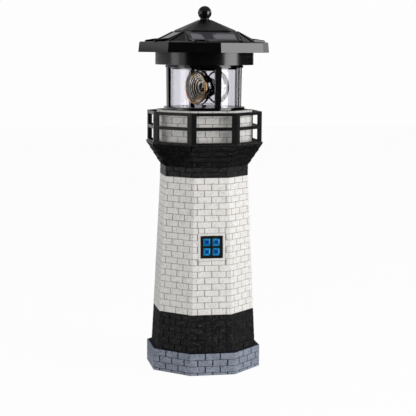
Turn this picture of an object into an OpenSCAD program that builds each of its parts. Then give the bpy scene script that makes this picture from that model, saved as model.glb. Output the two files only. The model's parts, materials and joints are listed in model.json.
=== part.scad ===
// Garden lighthouse ornament: an eight-sided brick tower with a railed gallery, a glazed lantern
// round a turning beacon, and a solar roof unit that twists off to reach its switch.
// Millimetres. The origin is the centre of the base's underside, +Z is up, and the window looks
// along -Y. A radius of an eight-sided piece is measured to its corners.

/* [Tower] */
// Height of the plinth
plinth_h = 16.8; // [12:0.2:30]
// How far the plinth stands out past the foot band
plinth_step = 3.8; // [2:0.1:8]
// Width of the bevel round the plinth's top
plinth_edge = 0.7; // [0.3:0.1:2]
// Height of the black foot band
foot_h = 29.1; // [18:0.1:50]
// How much wider the foot band is at its bottom than at its top
foot_spread = 1.5; // [0:0.1:4]
// Height of the white shaft
shaft_h = 104.5; // [70:0.5:160]
// How much wider the shaft is at its bottom than at its top
shaft_spread = 5.2; // [1:0.1:12]
// Height of the straight black neck
neck_h = 7.9; // [6:0.1:16]
// How much narrower the neck is than the drum
neck_step = 2.9; // [0:0.1:6]
// Height of the flared corbel
corbel_h = 18.2; // [10:0.1:30]
// Width of the walk from the drum to the gallery's edge, at a corner
walk_w = 8.5; // [6:0.1:20]
// Height of the gallery's straight lip
gallery_lip = 1.5; // [0.8:0.1:3]
// Height of the white drum behind the rail
drum_h = 24.3; // [20:0.1:40]
// How far the drum stands out past the lantern's floor
drum_rim = 6.5; // [4:0.1:10]
// Thickness of the tower's walls
wall_t = 3; // [2:0.1:4]
// Thickness of the decks between the tower's sections
deck_t = 2.6; // [2:0.1:4]
// Depth of the round spigots that centre one section in the next
spigot_h = 3; // [2:0.1:5]
// Wall of those spigots
spigot_t = 2; // [1.5:0.1:3]

/* [Bricks] */
// Height of one course on the foot band and the shaft
course_h = 4.65; // [3.5:0.05:8]
// Height of one course on the plinth
plinth_course_h = 4.9; // [4:0.05:8]
// Depth of the joint cut under each course
joint_d = 0.35; // [0.2:0.05:0.8]
// Height of the joint cut under each course
joint_h = 0.5; // [0.3:0.05:1]

/* [Window] */
// Width and height of the window frame
window_w = 17; // [10:0.1:22]
// Height of the window's centre above the foot of the shaft
window_rise = 52; // [30:0.5:70]
// Width of the frame's outer bars
window_bar = 1.9; // [1:0.1:3]
// Width of the glazing bars
muntin_w = 1.3; // [0.8:0.1:2.5]
// Thickness of the frame
window_t = 1.5; // [1:0.1:2]
// Thickness of the panes
pane_t = 0.8; // [0.5:0.1:1]
// How far the frame stands out of the wall
window_proud = 0.5; // [0.2:0.1:1]

/* [Gallery rail] */
// Height of the rail
rail_h = 23.3; // [16:0.1:36]
// How far the rail stands in from the gallery's edge
rail_inset = 1; // [0.5:0.1:3]
// Thickness of the rail
rail_t = 1.8; // [1:0.1:2.5]
// Width of a corner post along each of its two faces
rail_post_w = 3.9; // [2.5:0.1:6]
// Height of the top bar and of the middle bar
rail_bar_h = 2.4; // [1.5:0.1:4]
// Height of the sill that stands on the deck
rail_sill_h = 0.9; // [0.6:0.1:2]
// Height of the opening between the top and middle bars
rail_gap_h = 8.3; // [5:0.1:12]

/* [Lantern] */
// How far the lantern's floor disc stands out past the glass
floor_rim = 3.5; // [3:0.1:6]
// Height of the floor disc above the drum
lantern_rise = 2.2; // [1.5:0.1:4]
// Depth that the floor disc is let into the drum
lantern_sink = 1.2; // [0.8:0.1:1.6]
// Height of the glass
glass_h = 30; // [26:0.1:40]
// Wall of the glass tube
glass_t = 1.5; // [1:0.1:1.6]
// Width of a cage post
post_w = 4.8; // [3:0.1:7]
// Thickness of a cage post at its foot
post_t = 1.85; // [1.4:0.05:2.4]
// How much thicker a post is at its top
post_draft = 0.4; // [0:0.05:0.5]
// Turn of the cage's first post from the window's side
post_turn = 10; // [0:1:45]
// Height of the cage's top ring
ring_h = 1.6; // [1.2:0.1:3]
// How far the top ring reaches in past the outside of the glass
ring_lap = 3; // [2.5:0.1:4]

/* [Beacon] */
// Turn of the reflector's mouth from the window's side, at rest
beacon_turn = -60; // [-180:1:180]
// Room above and below the reflector, for its band, rim and running gap
beacon_room = 3.1; // [3:0.1:6]
// Distance of the reflector's mouth from the turning axis
dish_reach = 8.6; // [7:0.1:10]
// Number of steps in the reflector's bowl
dish_steps = 8; // [4:1:12]
// Bulge of the lens
lens_bulge = 3.4; // [2:0.1:4.5]
// Outer radius of the clear light barrel
barrel_r = 4.4; // [3.8:0.1:5]

/* [Top unit] */
// Room between the battery holder's corners and the collar's wall
collar_room = 3.4; // [2:0.1:10]
// Width of the collar's floor outside the glass
collar_step = 10; // [8:0.1:14]
// Height of the collar
collar_h = 10.4; // [9.8:0.1:16]
// Thickness of the collar's wall and floor
collar_t = 2; // [1.6:0.1:2.4]
// Height of the raised ring that the collar stands on
seat_h = 0.6; // [0.4:0.1:1.5]
// Turn that frees the top unit from the lantern
unlock_turn = 36; // [30:1:40]

/* [Roof] */
// How far the roof reaches out past the collar, at a corner
eave_w = 13.3; // [11:0.1:24]
// How much wider the fascia is at its bottom than at its top
fascia_lean = 0.7; // [0:0.1:3]
// Height of the fascia
fascia_h = 8; // [6:0.1:14]
// Turn of the roof's slopes from the tower's faces, where the unit came to rest
roof_turn = 3; // [-5:0.5:5]
// Width of the flat brim outside the slopes, at a corner
brim_w = 15.3; // [13:0.1:24]
// Rise of a slope for each millimetre inwards
slope = 0.49; // [0.4:0.01:0.6]
// How far the triangle that cuts each hip stands out past a slope's foot
hip_step = 2.5; // [1:0.1:5]
// Width of each slope in plan, from its foot to the roof cap
slope_w = 15; // [12:0.1:18]
// Width of the ribs beside the hips
rib_w = 1.7; // [1:0.1:3]
// Height of the ribs beside the hips
rib_h = 0.45; // [0.2:0.05:1]
// Thickness of the roof's shell
roof_t = 2.4; // [2:0.1:3]

/* [Solar panels] */
// Width of a panel as a share of the slope's distance from the axis
panel_w_share = 0.955; // [0.7:0.005:0.96]
// Length of a panel as a share of the slope's width in plan
panel_l_share = 0.97; // [0.6:0.01:1]
// Thickness of a panel
panel_t = 1.5; // [1:0.1:1.6]

/* [Finial] */
// Radius of the ball
ball_r = 5.3; // [4:0.1:6]
// Radius of the neck at its narrowest
finial_neck_r = 3.4; // [2:0.1:3.6]
// Radius of the finial's foot
finial_foot_r = 3.9; // [3.7:0.1:5.6]
// Height of the ball's centre above the finial's foot
finial_rise = 5.3; // [5.2:0.1:12]

/* [Drive and electrics] */
// Size of the gear teeth, as pitch diameter over number of teeth
gear_module = 0.5; // [0.45:0.01:0.52]
// Teeth of the beacon's gear
gear_teeth = 48; // [44:1:50]
// Teeth of the motor's pinion
pinion_teeth = 12; // [10:1:14]
// Thickness of the beacon's gear
gear_t = 2.4; // [1.6:0.1:2.6]
// Outer radius of the beacon's hollow spindle
spindle_r = 3; // [2.9:0.05:3.4]
// Radius of the fixed stem that carries the lamp
stem_r = 1.8; // [1.5:0.05:1.9]
// Radius of the motor
motor_r = 6.2; // [5:0.1:7]
// Height of the motor
motor_h = 9.4; // [6:0.1:10]
// Diameter of the battery
battery_d = 10.5; // [10:0.1:11]
// Length of the battery
battery_l = 44.5; // [40:0.1:46]
// Travel of the switch
switch_travel = 3; // [2:0.1:4]

/* [Fits] */
// Clearance round a piece that is fixed in another
fit = 0.1; // [0.05:0.01:0.15]
// Clearance round a shaft that turns
running = 0.05; // [0.02:0.01:0.09]
// Clearance between pieces that pass each other
passing = 0.3; // [0.2:0.05:0.5]

/* [Hidden] */
$fn = 64;
sides = 8;
turn = 360;
quarter = turn / 4;
// One overrun serves every cut.
over = 1;

// Battery holder, which sets how wide the collar is
battery_y = 14.4;
holder_t = 1;
holder_end = 2;
holder_h_share = 0.62;
contact_t = 0.4;
contact_r = 3;
contact_gap = 0.15;
contact_room = 0.3;
holder_inner_l = battery_l + 2 * (contact_t + contact_gap + contact_room);
holder_l = holder_inner_l + 2 * holder_end;
holder_w = battery_d + 2 * holder_t + 2 * fit;

// Radii, from the collar down
collar_in = norm([holder_l / 2, battery_y + holder_w / 2]) + collar_room;
collar_r = collar_in + collar_t;
glass_r = collar_r - collar_step;
lantern_r = glass_r + floor_rim;
drum_r = lantern_r + drum_rim;
gallery_r = drum_r + walk_w;
rail_r = gallery_r - rail_inset;
neck_r = drum_r - neck_step;
shaft_r = neck_r + shaft_spread;
foot_r = shaft_r + foot_spread;
plinth_r = foot_r + plinth_step;
brim_r = collar_r + eave_w;
eave_r = brim_r + fascia_lean;
slope_foot = brim_r - brim_w;
hip_foot = slope_foot + hip_step;
cap_w = slope_foot - slope_w;

// Levels, from the ground up
z_foot = plinth_h;
z_shaft = z_foot + foot_h;
z_neck = z_shaft + shaft_h;
z_corbel = z_neck + neck_h;
z_deck = z_corbel + corbel_h;
z_drum = z_deck + drum_h;
z_floor = z_drum + lantern_rise;
z_ring = z_floor + glass_h;
z_seat = z_ring + ring_h;
z_collar = z_seat + seat_h;
z_flange = z_collar + collar_h;
flange_recess = 1;
z_eave = z_flange - flange_recess;
z_brim = z_eave + fascia_h;
slope_step = 0.4;
z_slope = z_brim + slope_step;

// Round spigots that centre the tower's sections, each well inside the narrower wall
spigot_inset = 11.8;
foot_spigot_r = foot_r - spigot_inset;
shaft_spigot_r = shaft_r - spigot_inset;
neck_spigot_r = neck_r - spigot_inset;
drum_spigot_r = drum_r - spigot_inset;

// Base plate and its screws
base_recess = 0.8;
base_t = 2;
base_ledge = 4;
base_screw_inset = 12.6;
base_screw_at = plinth_r - base_screw_inset;
small_head_r = 1.9;
small_head_h = 0.9;
small_shank_r = 0.9;
pillar_r = 3;
cross_w_share = 0.3;
cross_l_share = 1.3;

// Rail pins
pin_share = 0.45;
pin_in_share = 1.1;

// Lantern floor
floor_spigot_inset = 7.5;
floor_spigot_r = lantern_r - floor_spigot_inset;
floor_spigot_h = 4.6;
floor_screw_inset = 3.6;
floor_screw_at = lantern_r - floor_screw_inset;
pivot_r = 1.5;
pivot_l = 1.6;
pivot_end = 0.3;
post_seat_d = 1.8;
z_floor_low = z_drum - lantern_sink;
glass_in = glass_r - glass_t;
post_share = 0.15;
post_in = glass_r + glass_t * post_share;
ring_lip_share = 0.4;
ring_r = post_in + post_t + post_draft * ring_lip_share;

// Bayonet: lugs on the collar's spigot turn in under the cage's ring
ring_bore_r = glass_r - ring_lap;
lug_count = 3;
lug_span = 24;
notch_slack = 3;
lug_h = 1.2;
lug_out = 1;
lug_t = 2;
lug_r = ring_bore_r - fit;
seat_step = 1.4;
seat_w = 3;
seat_in = glass_r - seat_step;
seat_out = seat_in + seat_w;

// Collar
flange_t = 1.8;
z_cup = z_collar + collar_t;
z_flange_top = z_flange + flange_t;
roof_in_r = brim_r - roof_t;
flange_r = roof_in_r - passing;
roof_screw_turn = turn / sides / 2;
roof_screw_at = (collar_r + flat(flange_r)) / 2;

// Chassis plate and what stands on it
chassis_post_inset = 5;
chassis_posts_at = collar_in - chassis_post_inset;
chassis_posts_turn = 18;
chassis_post_h = 5;
z_chassis = z_cup + chassis_post_h;
chassis_t = 1.6;
z_deck_top = z_chassis + chassis_t;
chassis_gap = 0.6;
chassis_r = collar_in - chassis_gap;
stem_flange_r = 4.5;
stem_flange_h = 1.5;
motor_boss_r = 2;
motor_shaft_r = 0.75;
motor_shaft_h = 6;
motor_screw_at = 4.3;
motor_screw_r = 0.8;
motor_screw_l = 3;
motor_flat_share = 0.8;
thin_head_r = 1.2;
thin_head_h = 0.5;
grip_share = 0.8;

// Gears
pressure_angle = 20;
tooth_share = 0.46;
tip_share = 0.92;
root_share = 1.2;
flank_shares = [0, 0.3, 0.6, 1];
web_hole_share = 0.3;
gear_pitch_r = gear_teeth * gear_module / 2;
pinion_pitch_r = pinion_teeth * gear_module / 2;
gear_centres = gear_pitch_r + pinion_pitch_r;
gear_lift = 1.2;
z_gear = z_cup + gear_lift;
pinion_extra = 0.4;
pinion_end_share = 0.4;
gear_hub_step = 2.2;
gear_hub_r = spindle_r + gear_hub_step;
gear_fit = 0.03;
clip_t = 0.6;
clip_step = 1.8;
clip_r = spindle_r + clip_step;
clip_depth = 0.35;
z_clip = z_gear + gear_t + fit;
spindle_end = 0.3;
z_spindle = z_clip + clip_t + spindle_end;
spindle_gap = 0.4;
spindle_bore_r = stem_r + spindle_gap;

// Beacon, along its beam from the turning axis
beam_low = 0.2;
z_beam = z_floor + glass_h / 2 - beam_low;
beam_drop = 0.4;
dish_r = glass_h / 2 - beacon_room;
dish_t = 0.5;
dish_base_r = 3.4;
dish_base_step = 0.8;
dish_base_at = stem_r + dish_base_step;
riser_share = 0.5;
bowl_t = 0.6;
bowl_gap = 0.1;
bowl_r = dish_r + dish_t + bowl_gap;
bowl_back_r = 5.6;
bowl_back_at = -10.6;
bowl_window_r = 3.7;
bowl_window_at = 3.2;
rim_step = 1;
rim_out = dish_r + rim_step;
rim_w = 1.5;
rim_lip = 0.5;
bowl_mouth = dish_reach - rim_w / 2;
band_w = 2.4;
band_at = 6;
band_gap = 0.15;
band_t = 1.05;
band_in = bowl_r + band_gap;
band_out = band_in + band_t;
arm_w = 5;
lens_r = dish_r;
lens_at = -12.2;
lens_edge = 1.5;
lens_ring_out = band_in - running;
lens_ring_w = 2.4;
barrel_t = 0.8;
hub_step = 0.3;
hub_r = spindle_r + hub_step;
lower_stem_r = 1.8;
lamp_r = 1.45;
lamp_l = 4;
lamp_neck_share = 0.8;

// Circuit board
board_w = 15;
board_l = 21;
board_t = 1.2;
board_x = 20;
board_y = -7;
standoff_h = 4;
standoff_r = 1.7;
peg_r = 0.8;
peg_h = 1.8;
standoff_inset = 2.4;
chip_w = 5;
chip_l = 6;
chip_h = 1.2;
can_r = 2;
can_h = 5;
nub_r_share = 0.25;
nub_h_share = 0.02;

// Switch
switch_inset = 3;
switch_y = collar_in - switch_inset;
switch_w = 10;
switch_d = 4.2;
switch_h = 3.6;
slider_w = 2.6;
slider_d = 2;
slider_plate_w = 4;
slider_plate_d = 3;
slider_plate_h = 1;
slider_reach = 1.2;
slider_lift = 0.15;

// Roof details
eave_round = 1.2;
round_steps = 5;
cap_lip = 0.7;
cap_shell = 1.8;
cap_flat_step = 0.2;
cap_flat = finial_foot_r + cap_flat_step;
cap_hip_share = 1.2;
cap_slope_share = 0.98;
cap_inset = 0.5;
z_cap = z_slope + (slope_w + cap_inset) * slope;
slope_top = slope_foot - slope_w - cap_inset;
roof_screw_l = 5;
boss_r = 2.8;
panel_w = slope_foot * panel_w_share;
panel_l = slope_w * panel_l_share;
panel_gap = 0.1;
panel_sunk = 0.15;
panel_up_share = 0.6;
wire_hole_r = 1.4;
hip_top = sqrt(2) * slope_top;
hip_slope = (z_cap - z_slope) / (hip_foot - hip_top);
slope_angle = atan(slope);
rib_out = rib_h / sin(slope_angle);
z_cap_edge = z_cap + cap_lip;
z_finial = z_cap_edge + (cap_w - cap_flat) * slope * cap_slope_share;
z_ball = z_finial + finial_rise;
foot_lip_share = 0.25;
stud_r = 1.5;
stud_below = 3;
nut_r = 3;
nut_h = 2.2;
roof_top_t = 3.2;

// Distance from the axis to a flat of an eight-sided piece with corner radius r
function flat(r) = r * cos(turn / sides / 2);
// Both sides of an outline that is given as half widths and heights, from the bottom up
function both_sides(half) = concat(half, [for (i = [len(half) - 1:-1:0]) [-half[i][0], half[i][1]]]);
function widest(half) = max([for (p = half) p[0]]);
function to_flats(corners) = [for (p = corners) [flat(p[0]), p[1]]];
function between(a, b, share) = a + (b - a) * share;

// A block of the given outline, drawn through in one direction
module slab(half) {
    rotate([90, 0, 0])
        linear_extrude(height = 4 * widest(half), center = true) polygon(both_sides(half));
}

// Eight-sided body from corner radii and heights
module eight_sided(corners) {
    half = to_flats(corners);
    intersection_for(a = [0:turn / sides:turn / 2 - turn / sides]) rotate([0, 0, a]) slab(half);
}

// Four-sided body with its hips cut by four more planes
module hipped(face, hip) {
    intersection() {
        slab(face);
        rotate([0, 0, 90]) slab(face);
        rotate([0, 0, 45]) slab(hip);
        rotate([0, 0, 135]) slab(hip);
    }
}

module tube(outer, inner, h) {
    difference() {
        cylinder(r = outer, h = h);
        translate([0, 0, -over]) cylinder(r = inner, h = h + 2 * over);
    }
}

module at_turns(count, first = 0) {
    for (i = [0:count - 1]) rotate([0, 0, first + i * turn / count]) children();
}

// A cross-head screw that points up, with the underside of its head at zero
module screw(head_r, head_h, shank_r, shank_l) {
    cross_w = head_r * cross_w_share;
    cross_l = head_r * cross_l_share;
    difference() {
        union() {
            translate([0, 0, -head_h]) cylinder(r = head_r, h = head_h, $fn = 32);
            cylinder(r = shank_r, h = shank_l, $fn = 24);
        }
        for (a = [0, 90]) rotate([0, 0, a])
            translate([-cross_l / 2, -cross_w / 2, -head_h - over])
                cube([cross_l, cross_w, head_h / 2 + over]);
    }
}

// Outline of a tapered brick wall: each course ends in a joint that is cut back into the wall
function course_points(r0, r1, z0, z1, n) = [
    for (i = [0:n - 1])
        let (low = between(z0, z1, i / n), high = between(z0, z1, (i + 1) / n),
             a = between(r0, r1, i / n), b = between(r0, r1, (i + 1) / n))
        each i == n - 1 ? [[a, low], [b, high]]
            : [[a, low], [b, high - joint_h], [b - joint_d, high - joint_h], [b - joint_d, high]]
];

// One hollow tower section, with a deck at its top that a round bore passes
module section(outer, z0, z1, in0, in1, bore_r) {
    difference() {
        eight_sided(outer);
        eight_sided([[in0, z0 - over], [in1, z1 - deck_t]]);
        translate([0, 0, z1 - deck_t - over]) cylinder(r = bore_r, h = deck_t + 2 * over);
    }
}

// The floor and spigot by which a section stands in the deck below it
module stand(z, r_wall, spigot_r) {
    difference() {
        union() {
            eight_sided([[r_wall - wall_t / 2, z], [r_wall - wall_t / 2, z + deck_t]]);
            translate([0, 0, z - spigot_h]) cylinder(r = spigot_r - fit, h = spigot_h + deck_t);
        }
        translate([0, 0, z - spigot_h - over])
            cylinder(r = spigot_r - fit - spigot_t, h = spigot_h + deck_t + 2 * over);
    }
}

module plinth() color("slategray") {
    n = floor((plinth_h - 2 * joint_h) / plinth_course_h);
    first = plinth_h - n * plinth_course_h;
    difference() {
        union() {
            section(concat([[plinth_r, 0], [plinth_r, first - joint_h],
                            [plinth_r - joint_d, first - joint_h], [plinth_r - joint_d, first]],
                           course_points(plinth_r, plinth_r, first, z_foot - plinth_edge, n),
                           [[plinth_r - plinth_edge, z_foot]]),
                    0, z_foot, plinth_r - wall_t, plinth_r - wall_t, foot_spigot_r);
            difference() {
                eight_sided([[plinth_r - wall_t / 2, base_recess + base_t],
                             [plinth_r - wall_t / 2, base_recess + 2 * base_t]]);
                translate([0, 0, -over]) cylinder(r = plinth_r - wall_t - 2 * base_ledge,
                                                  h = plinth_h);
            }
            at_turns(4, 45) translate([base_screw_at, 0, base_recess + base_t])
                cylinder(r = pillar_r, h = plinth_h / 2);
        }
        at_turns(4, 45) translate([base_screw_at, 0, 0])
            cylinder(r = small_shank_r, h = plinth_h / 2);
    }
}

module base_plate() color("dimgray") {
    r = plinth_r - wall_t - fit;
    difference() {
        eight_sided([[r, base_recess], [r, base_recess + base_t]]);
        at_turns(4, 45) translate([base_screw_at, 0, 0]) {
            cylinder(r = small_shank_r + fit, h = plinth_h);
            cylinder(r = small_head_r + fit, h = base_recess + small_head_h);
        }
    }
}

module base_screws() color("silver") {
    at_turns(4, 45) translate([base_screw_at, 0, base_recess + small_head_h])
        screw(small_head_r, small_head_h, small_shank_r - fit, plinth_h / 3);
}

module foot_band() color([0.13, 0.13, 0.13]) {
    n = round(foot_h / course_h);
    section(course_points(foot_r, shaft_r, z_foot, z_shaft, n), z_foot, z_shaft,
            foot_r - wall_t, shaft_r - wall_t, shaft_spigot_r);
    stand(z_foot, foot_r, foot_spigot_r);
}

// Moves onto the shaft's front wall at the window's centre: X across, Z up, -Y out
module at_window() {
    share = window_rise / shaft_h;
    lean = atan((flat(shaft_r) - flat(neck_r)) / shaft_h);
    translate([0, -flat(between(shaft_r, neck_r, share)), z_shaft + window_rise])
        rotate([-lean, 0, 0]) children();
}

module window_hole(w, depth_from, depth) {
    translate([-w / 2, depth_from, -w / 2]) cube([w, depth, w]);
}

module shaft() color("whitesmoke") {
    n = round(shaft_h / course_h);
    rebate = window_t + pane_t - window_proud;
    difference() {
        union() {
            section(course_points(shaft_r, neck_r, z_shaft, z_neck, n), z_shaft, z_neck,
                    shaft_r - wall_t, neck_r - wall_t, neck_spigot_r);
            stand(z_shaft, shaft_r, shaft_spigot_r);
            at_window() window_hole(window_w + 2 * window_bar, -joint_d / 2, wall_t - joint_d);
        }
        at_window() {
            window_hole(window_w + 2 * fit, -wall_t, wall_t + rebate);
            window_hole(window_w - 2 * window_bar, -wall_t, 3 * wall_t);
        }
    }
}

module window_frame() color([0.12, 0.12, 0.12]) {
    light = (window_w - 2 * window_bar - muntin_w) / 2;
    step = (light + muntin_w) / 2;
    at_window() difference() {
        window_hole(window_w, -window_proud, window_t);
        for (x = [-step, step], z = [-step, step])
            translate([x, 0, z]) window_hole(light, -window_t - over, 2 * window_t + 2 * over);
    }
}

module window_panes() color("royalblue") {
    w = window_w;
    at_window() window_hole(w, window_t - window_proud, pane_t);
}

module corbel() color([0.13, 0.13, 0.13]) {
    neck_n = max(1, round(neck_h / course_h));
    flare_h = corbel_h - gallery_lip;
    flare_n = round(flare_h / course_h);
    outer = concat(course_points(neck_r, neck_r, z_neck, z_corbel, neck_n),
                   course_points(neck_r, gallery_r, z_corbel, z_deck - gallery_lip, flare_n),
                   [[gallery_r, z_deck]]);
    difference() {
        eight_sided(outer);
        eight_sided([[neck_r - wall_t, z_neck - over], [neck_r - wall_t, z_corbel],
                     [gallery_r - 2 * wall_t, z_deck - gallery_lip - deck_t]]);
        translate([0, 0, z_corbel]) cylinder(r = drum_spigot_r, h = corbel_h + over);
        rail_pins(running);
    }
    stand(z_neck, neck_r, neck_spigot_r);
}

// The pins that hold the rail to the deck, one under each corner post
module rail_pins(clear) {
    pin_r = rail_t * pin_share;
    pin_at = rail_r - rail_t * pin_in_share;
    at_turns(sides, turn / sides / 2) translate([0, -pin_at, z_deck - rail_t])
        cylinder(r = pin_r + clear, h = rail_t + rail_sill_h, $fn = 24);
}

module gallery_rail() color([0.14, 0.14, 0.14]) {
    side = 2 * rail_r * sin(turn / sides / 2);
    top = z_deck + rail_h;
    upper = top - rail_bar_h - rail_gap_h;
    lower = z_deck + rail_sill_h;
    window = side - 2 * rail_post_w;
    difference() {
        union() {
            difference() {
                eight_sided([[rail_r, z_deck], [rail_r, top]]);
                eight_sided([[rail_r - rail_t / cos(turn / sides / 2), z_deck - over],
                             [rail_r - rail_t / cos(turn / sides / 2), top + over]]);
            }
            intersection() {
                rail_pins(0);
                translate([0, 0, z_deck - rail_t]) cylinder(r = rail_r, h = rail_t + rail_sill_h);
            }
        }
        at_turns(sides) {
            translate([-window / 2, -rail_r, upper]) cube([window, rail_r / 2, rail_gap_h]);
            translate([-window / 2, -rail_r, lower])
                cube([window, rail_r / 2, upper - rail_bar_h - lower]);
        }
    }
}

module drum() color("whitesmoke") {
    n = round(drum_h / course_h);
    plate = z_floor_low - deck_t;
    difference() {
        eight_sided(course_points(drum_r, drum_r, z_deck, z_drum, n));
        eight_sided([[drum_r - wall_t, z_deck - over], [drum_r - wall_t, plate]]);
        translate([0, 0, z_floor_low]) cylinder(r = lantern_r + fit, h = drum_h);
        cylinder(r = floor_spigot_r + fit, h = z_drum);
        at_turns(4, 45) translate([floor_screw_at, 0, 0]) cylinder(r = small_shank_r + fit, h = z_drum);
    }
    stand(z_deck, drum_r, drum_spigot_r);
}

module lantern_floor() color([0.1, 0.1, 0.1]) {
    low = z_floor_low;
    difference() {
        union() {
            translate([0, 0, low]) cylinder(r = lantern_r, h = z_floor - low);
            translate([0, 0, low - floor_spigot_h])
                tube(floor_spigot_r, floor_spigot_r - 2 * spigot_t, floor_spigot_h + running);
        }
        translate([0, 0, z_floor - pivot_l - pivot_end]) cylinder(r = pivot_r + running, h = z_floor);
        at_turns(4, 45) translate([floor_screw_at, 0, 0])
            cylinder(r = small_shank_r, h = z_floor - small_shank_r);
        posts(z_floor - post_seat_d - fit, fit);
    }
}

module floor_screws() color("silver") {
    at_turns(4, 45) translate([floor_screw_at, 0, z_floor_low - deck_t])
        screw(small_head_r, small_head_h, small_shank_r - fit, deck_t + lantern_rise);
}

module lantern_glass() color("lightsteelblue", 0.4) {
    translate([0, 0, z_floor]) tube(glass_r, glass_in, glass_h);
}

// The four posts, thicker towards their tops
module posts(from, grow) {
    at_turns(4, post_turn) rotate([0, 90, 0]) linear_extrude(height = post_w + 2 * grow, center = true)
        polygon([[-from, -post_in + grow], [-from, -post_in - post_t - grow],
                 [-z_ring - ring_h / 2, -post_in - post_t - post_draft - grow],
                 [-z_ring - ring_h / 2, -post_in + grow]]);
}

module lantern_cage() color([0.08, 0.08, 0.08]) {
    posts(z_floor - post_seat_d, 0);
    difference() {
        translate([0, 0, z_ring]) tube(ring_r, ring_bore_r, ring_h);
        at_turns(lug_count, unlock_turn) sector(ring_bore_r - over, lug_r + lug_out + 3 * fit,
                                                lug_span + 2 * notch_slack, z_ring - over,
                                                ring_h + 2 * over);
    }
}

// A piece of a ring, span degrees wide, centred on the window's side
module sector(inner, outer, span, z, h) {
    far = 2 * outer;
    intersection() {
        translate([0, 0, z]) tube(outer, inner, h);
        translate([0, 0, z]) linear_extrude(height = h)
            polygon([[0, 0], [-far * tan(span / 2), -far], [far * tan(span / 2), -far]]);
    }
}

module collar_housing() color([0.07, 0.07, 0.07]) {
    spigot_low = z_ring - lug_h - fit;
    difference() {
        union() {
            translate([0, 0, z_collar]) cylinder(r = collar_r, h = collar_h + running);
            rotate([0, 0, roof_turn + turn / sides / 2])
                eight_sided([[flange_r, z_flange], [flange_r, z_flange_top]]);
            translate([0, 0, z_seat]) tube(seat_out, seat_in, seat_h + running);
            translate([0, 0, spigot_low])
                tube(lug_r, lug_r - lug_t, z_collar - spigot_low + running);
            at_turns(lug_count) sector(lug_r - lug_t, lug_r + lug_out, lug_span, spigot_low, lug_h);
        }
        translate([0, 0, z_cup]) cylinder(r = collar_in, h = collar_h + flange_t);
        translate([0, 0, z_collar - over]) cylinder(r = spindle_r + running, h = collar_t + 2 * over);
        translate([-(switch_travel + slider_w) / 2 - fit, switch_y - slider_d / 2 - fit,
                   z_collar - over])
            cube([switch_travel + slider_w + 2 * fit, slider_d + 2 * fit, collar_t + 2 * over]);
        at_roof_screws() translate([0, 0, z_flange - over])
            cylinder(r = small_shank_r + fit, h = flange_t + 2 * over);
    }
    difference() {
        at_turns(4, chassis_posts_turn) translate([chassis_posts_at, 0, z_cup - running])
            cylinder(r = pillar_r, h = chassis_post_h + running);
        at_turns(4, chassis_posts_turn) translate([chassis_posts_at, 0, z_cup])
            cylinder(r = small_shank_r, h = chassis_post_h + over);
    }
}

module at_roof_screws() {
    rotate([0, 0, roof_turn]) at_turns(4, roof_screw_turn) translate([roof_screw_at, 0, 0]) children();
}

module roof_screws() color("silver") {
    at_roof_screws() translate([0, 0, z_flange])
        screw(small_head_r, small_head_h, small_shank_r - fit, roof_screw_l);
}

module chassis_plate() color("dimgray") {
    difference() {
        union() {
            translate([0, 0, z_chassis]) cylinder(r = chassis_r, h = chassis_t);
            at_standoffs() {
                translate([0, 0, z_deck_top - running]) cylinder(r = standoff_r, h = standoff_h + running);
                translate([0, 0, z_deck_top]) cylinder(r = peg_r, h = standoff_h + peg_h);
            }
        }
        translate([0, 0, z_chassis - over]) {
            cylinder(r = stem_r + running, h = chassis_t + 2 * over);
            translate([0, -gear_centres, 0]) cylinder(r = motor_boss_r + fit, h = chassis_t + 2 * over);
            at_motor_screws() cylinder(r = motor_screw_r + fit, h = chassis_t + 2 * over);
            at_turns(4, chassis_posts_turn) translate([chassis_posts_at, 0, 0])
                cylinder(r = small_shank_r + fit, h = chassis_t + 2 * over);
        }
    }
}

module at_motor_screws() {
    translate([0, -gear_centres, 0]) for (x = [-motor_screw_at, motor_screw_at])
        translate([x, 0, 0]) children();
}

module at_standoffs() {
    dx = board_w / 2 - standoff_inset;
    dy = board_l / 2 - standoff_inset;
    for (s = [-1, 1]) translate([board_x + s * dx, board_y + s * dy, 0]) children();
}

module chassis_screws() color("silver") {
    at_turns(4, chassis_posts_turn) translate([chassis_posts_at, 0, z_deck_top]) mirror([0, 0, 1])
        screw(small_head_r, small_head_h, small_shank_r - fit, chassis_post_h);
}

module drive_motor() color("silver") {
    difference() {
        union() {
            translate([0, -gear_centres, z_deck_top]) intersection() {
                cylinder(r = motor_r, h = motor_h);
                translate([-motor_r, -motor_r * motor_flat_share, 0])
                    cube([2 * motor_r, 2 * motor_r * motor_flat_share, motor_h]);
            }
            translate([0, -gear_centres, z_chassis + fit]) cylinder(r = motor_boss_r, h = chassis_t);
        }
        translate([0, -gear_centres, 0])
            cylinder(r = motor_shaft_r + running, h = z_deck_top + motor_shaft_h);
        at_motor_screws() cylinder(r = motor_screw_r, h = z_deck_top + motor_screw_l);
    }
}

module motor_screws() color("silver") {
    at_motor_screws() translate([0, 0, z_chassis])
        screw(thin_head_r, thin_head_h, motor_screw_r - running, chassis_t + motor_screw_l * grip_share);
}

module lamp_stem() color("gainsboro") {
    lamp_top = z_beam + lamp_l;
    difference() {
        union() {
            translate([0, 0, lamp_top]) cylinder(r = stem_r, h = z_deck_top - lamp_top + running);
            translate([0, 0, z_deck_top]) cylinder(r = stem_flange_r, h = stem_flange_h);
        }
        translate([0, 0, lamp_top - over])
            cylinder(r = stem_r / 2, h = z_deck_top + stem_flange_h - lamp_top + 2 * over);
    }
}

module lamp() color("ivory") {
    rotate_extrude($fn = 32) polygon(concat(
        [[0, z_beam + lamp_l]],
        [[stem_r, z_beam + lamp_l], [stem_r, z_beam + lamp_l * lamp_neck_share],
         [lamp_r, z_beam + lamp_l * lamp_neck_share]],
        [for (a = [0:quarter / 5:quarter]) [lamp_r * cos(a), z_beam - lamp_r * sin(a) + lamp_r / 2]]));
}

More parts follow.
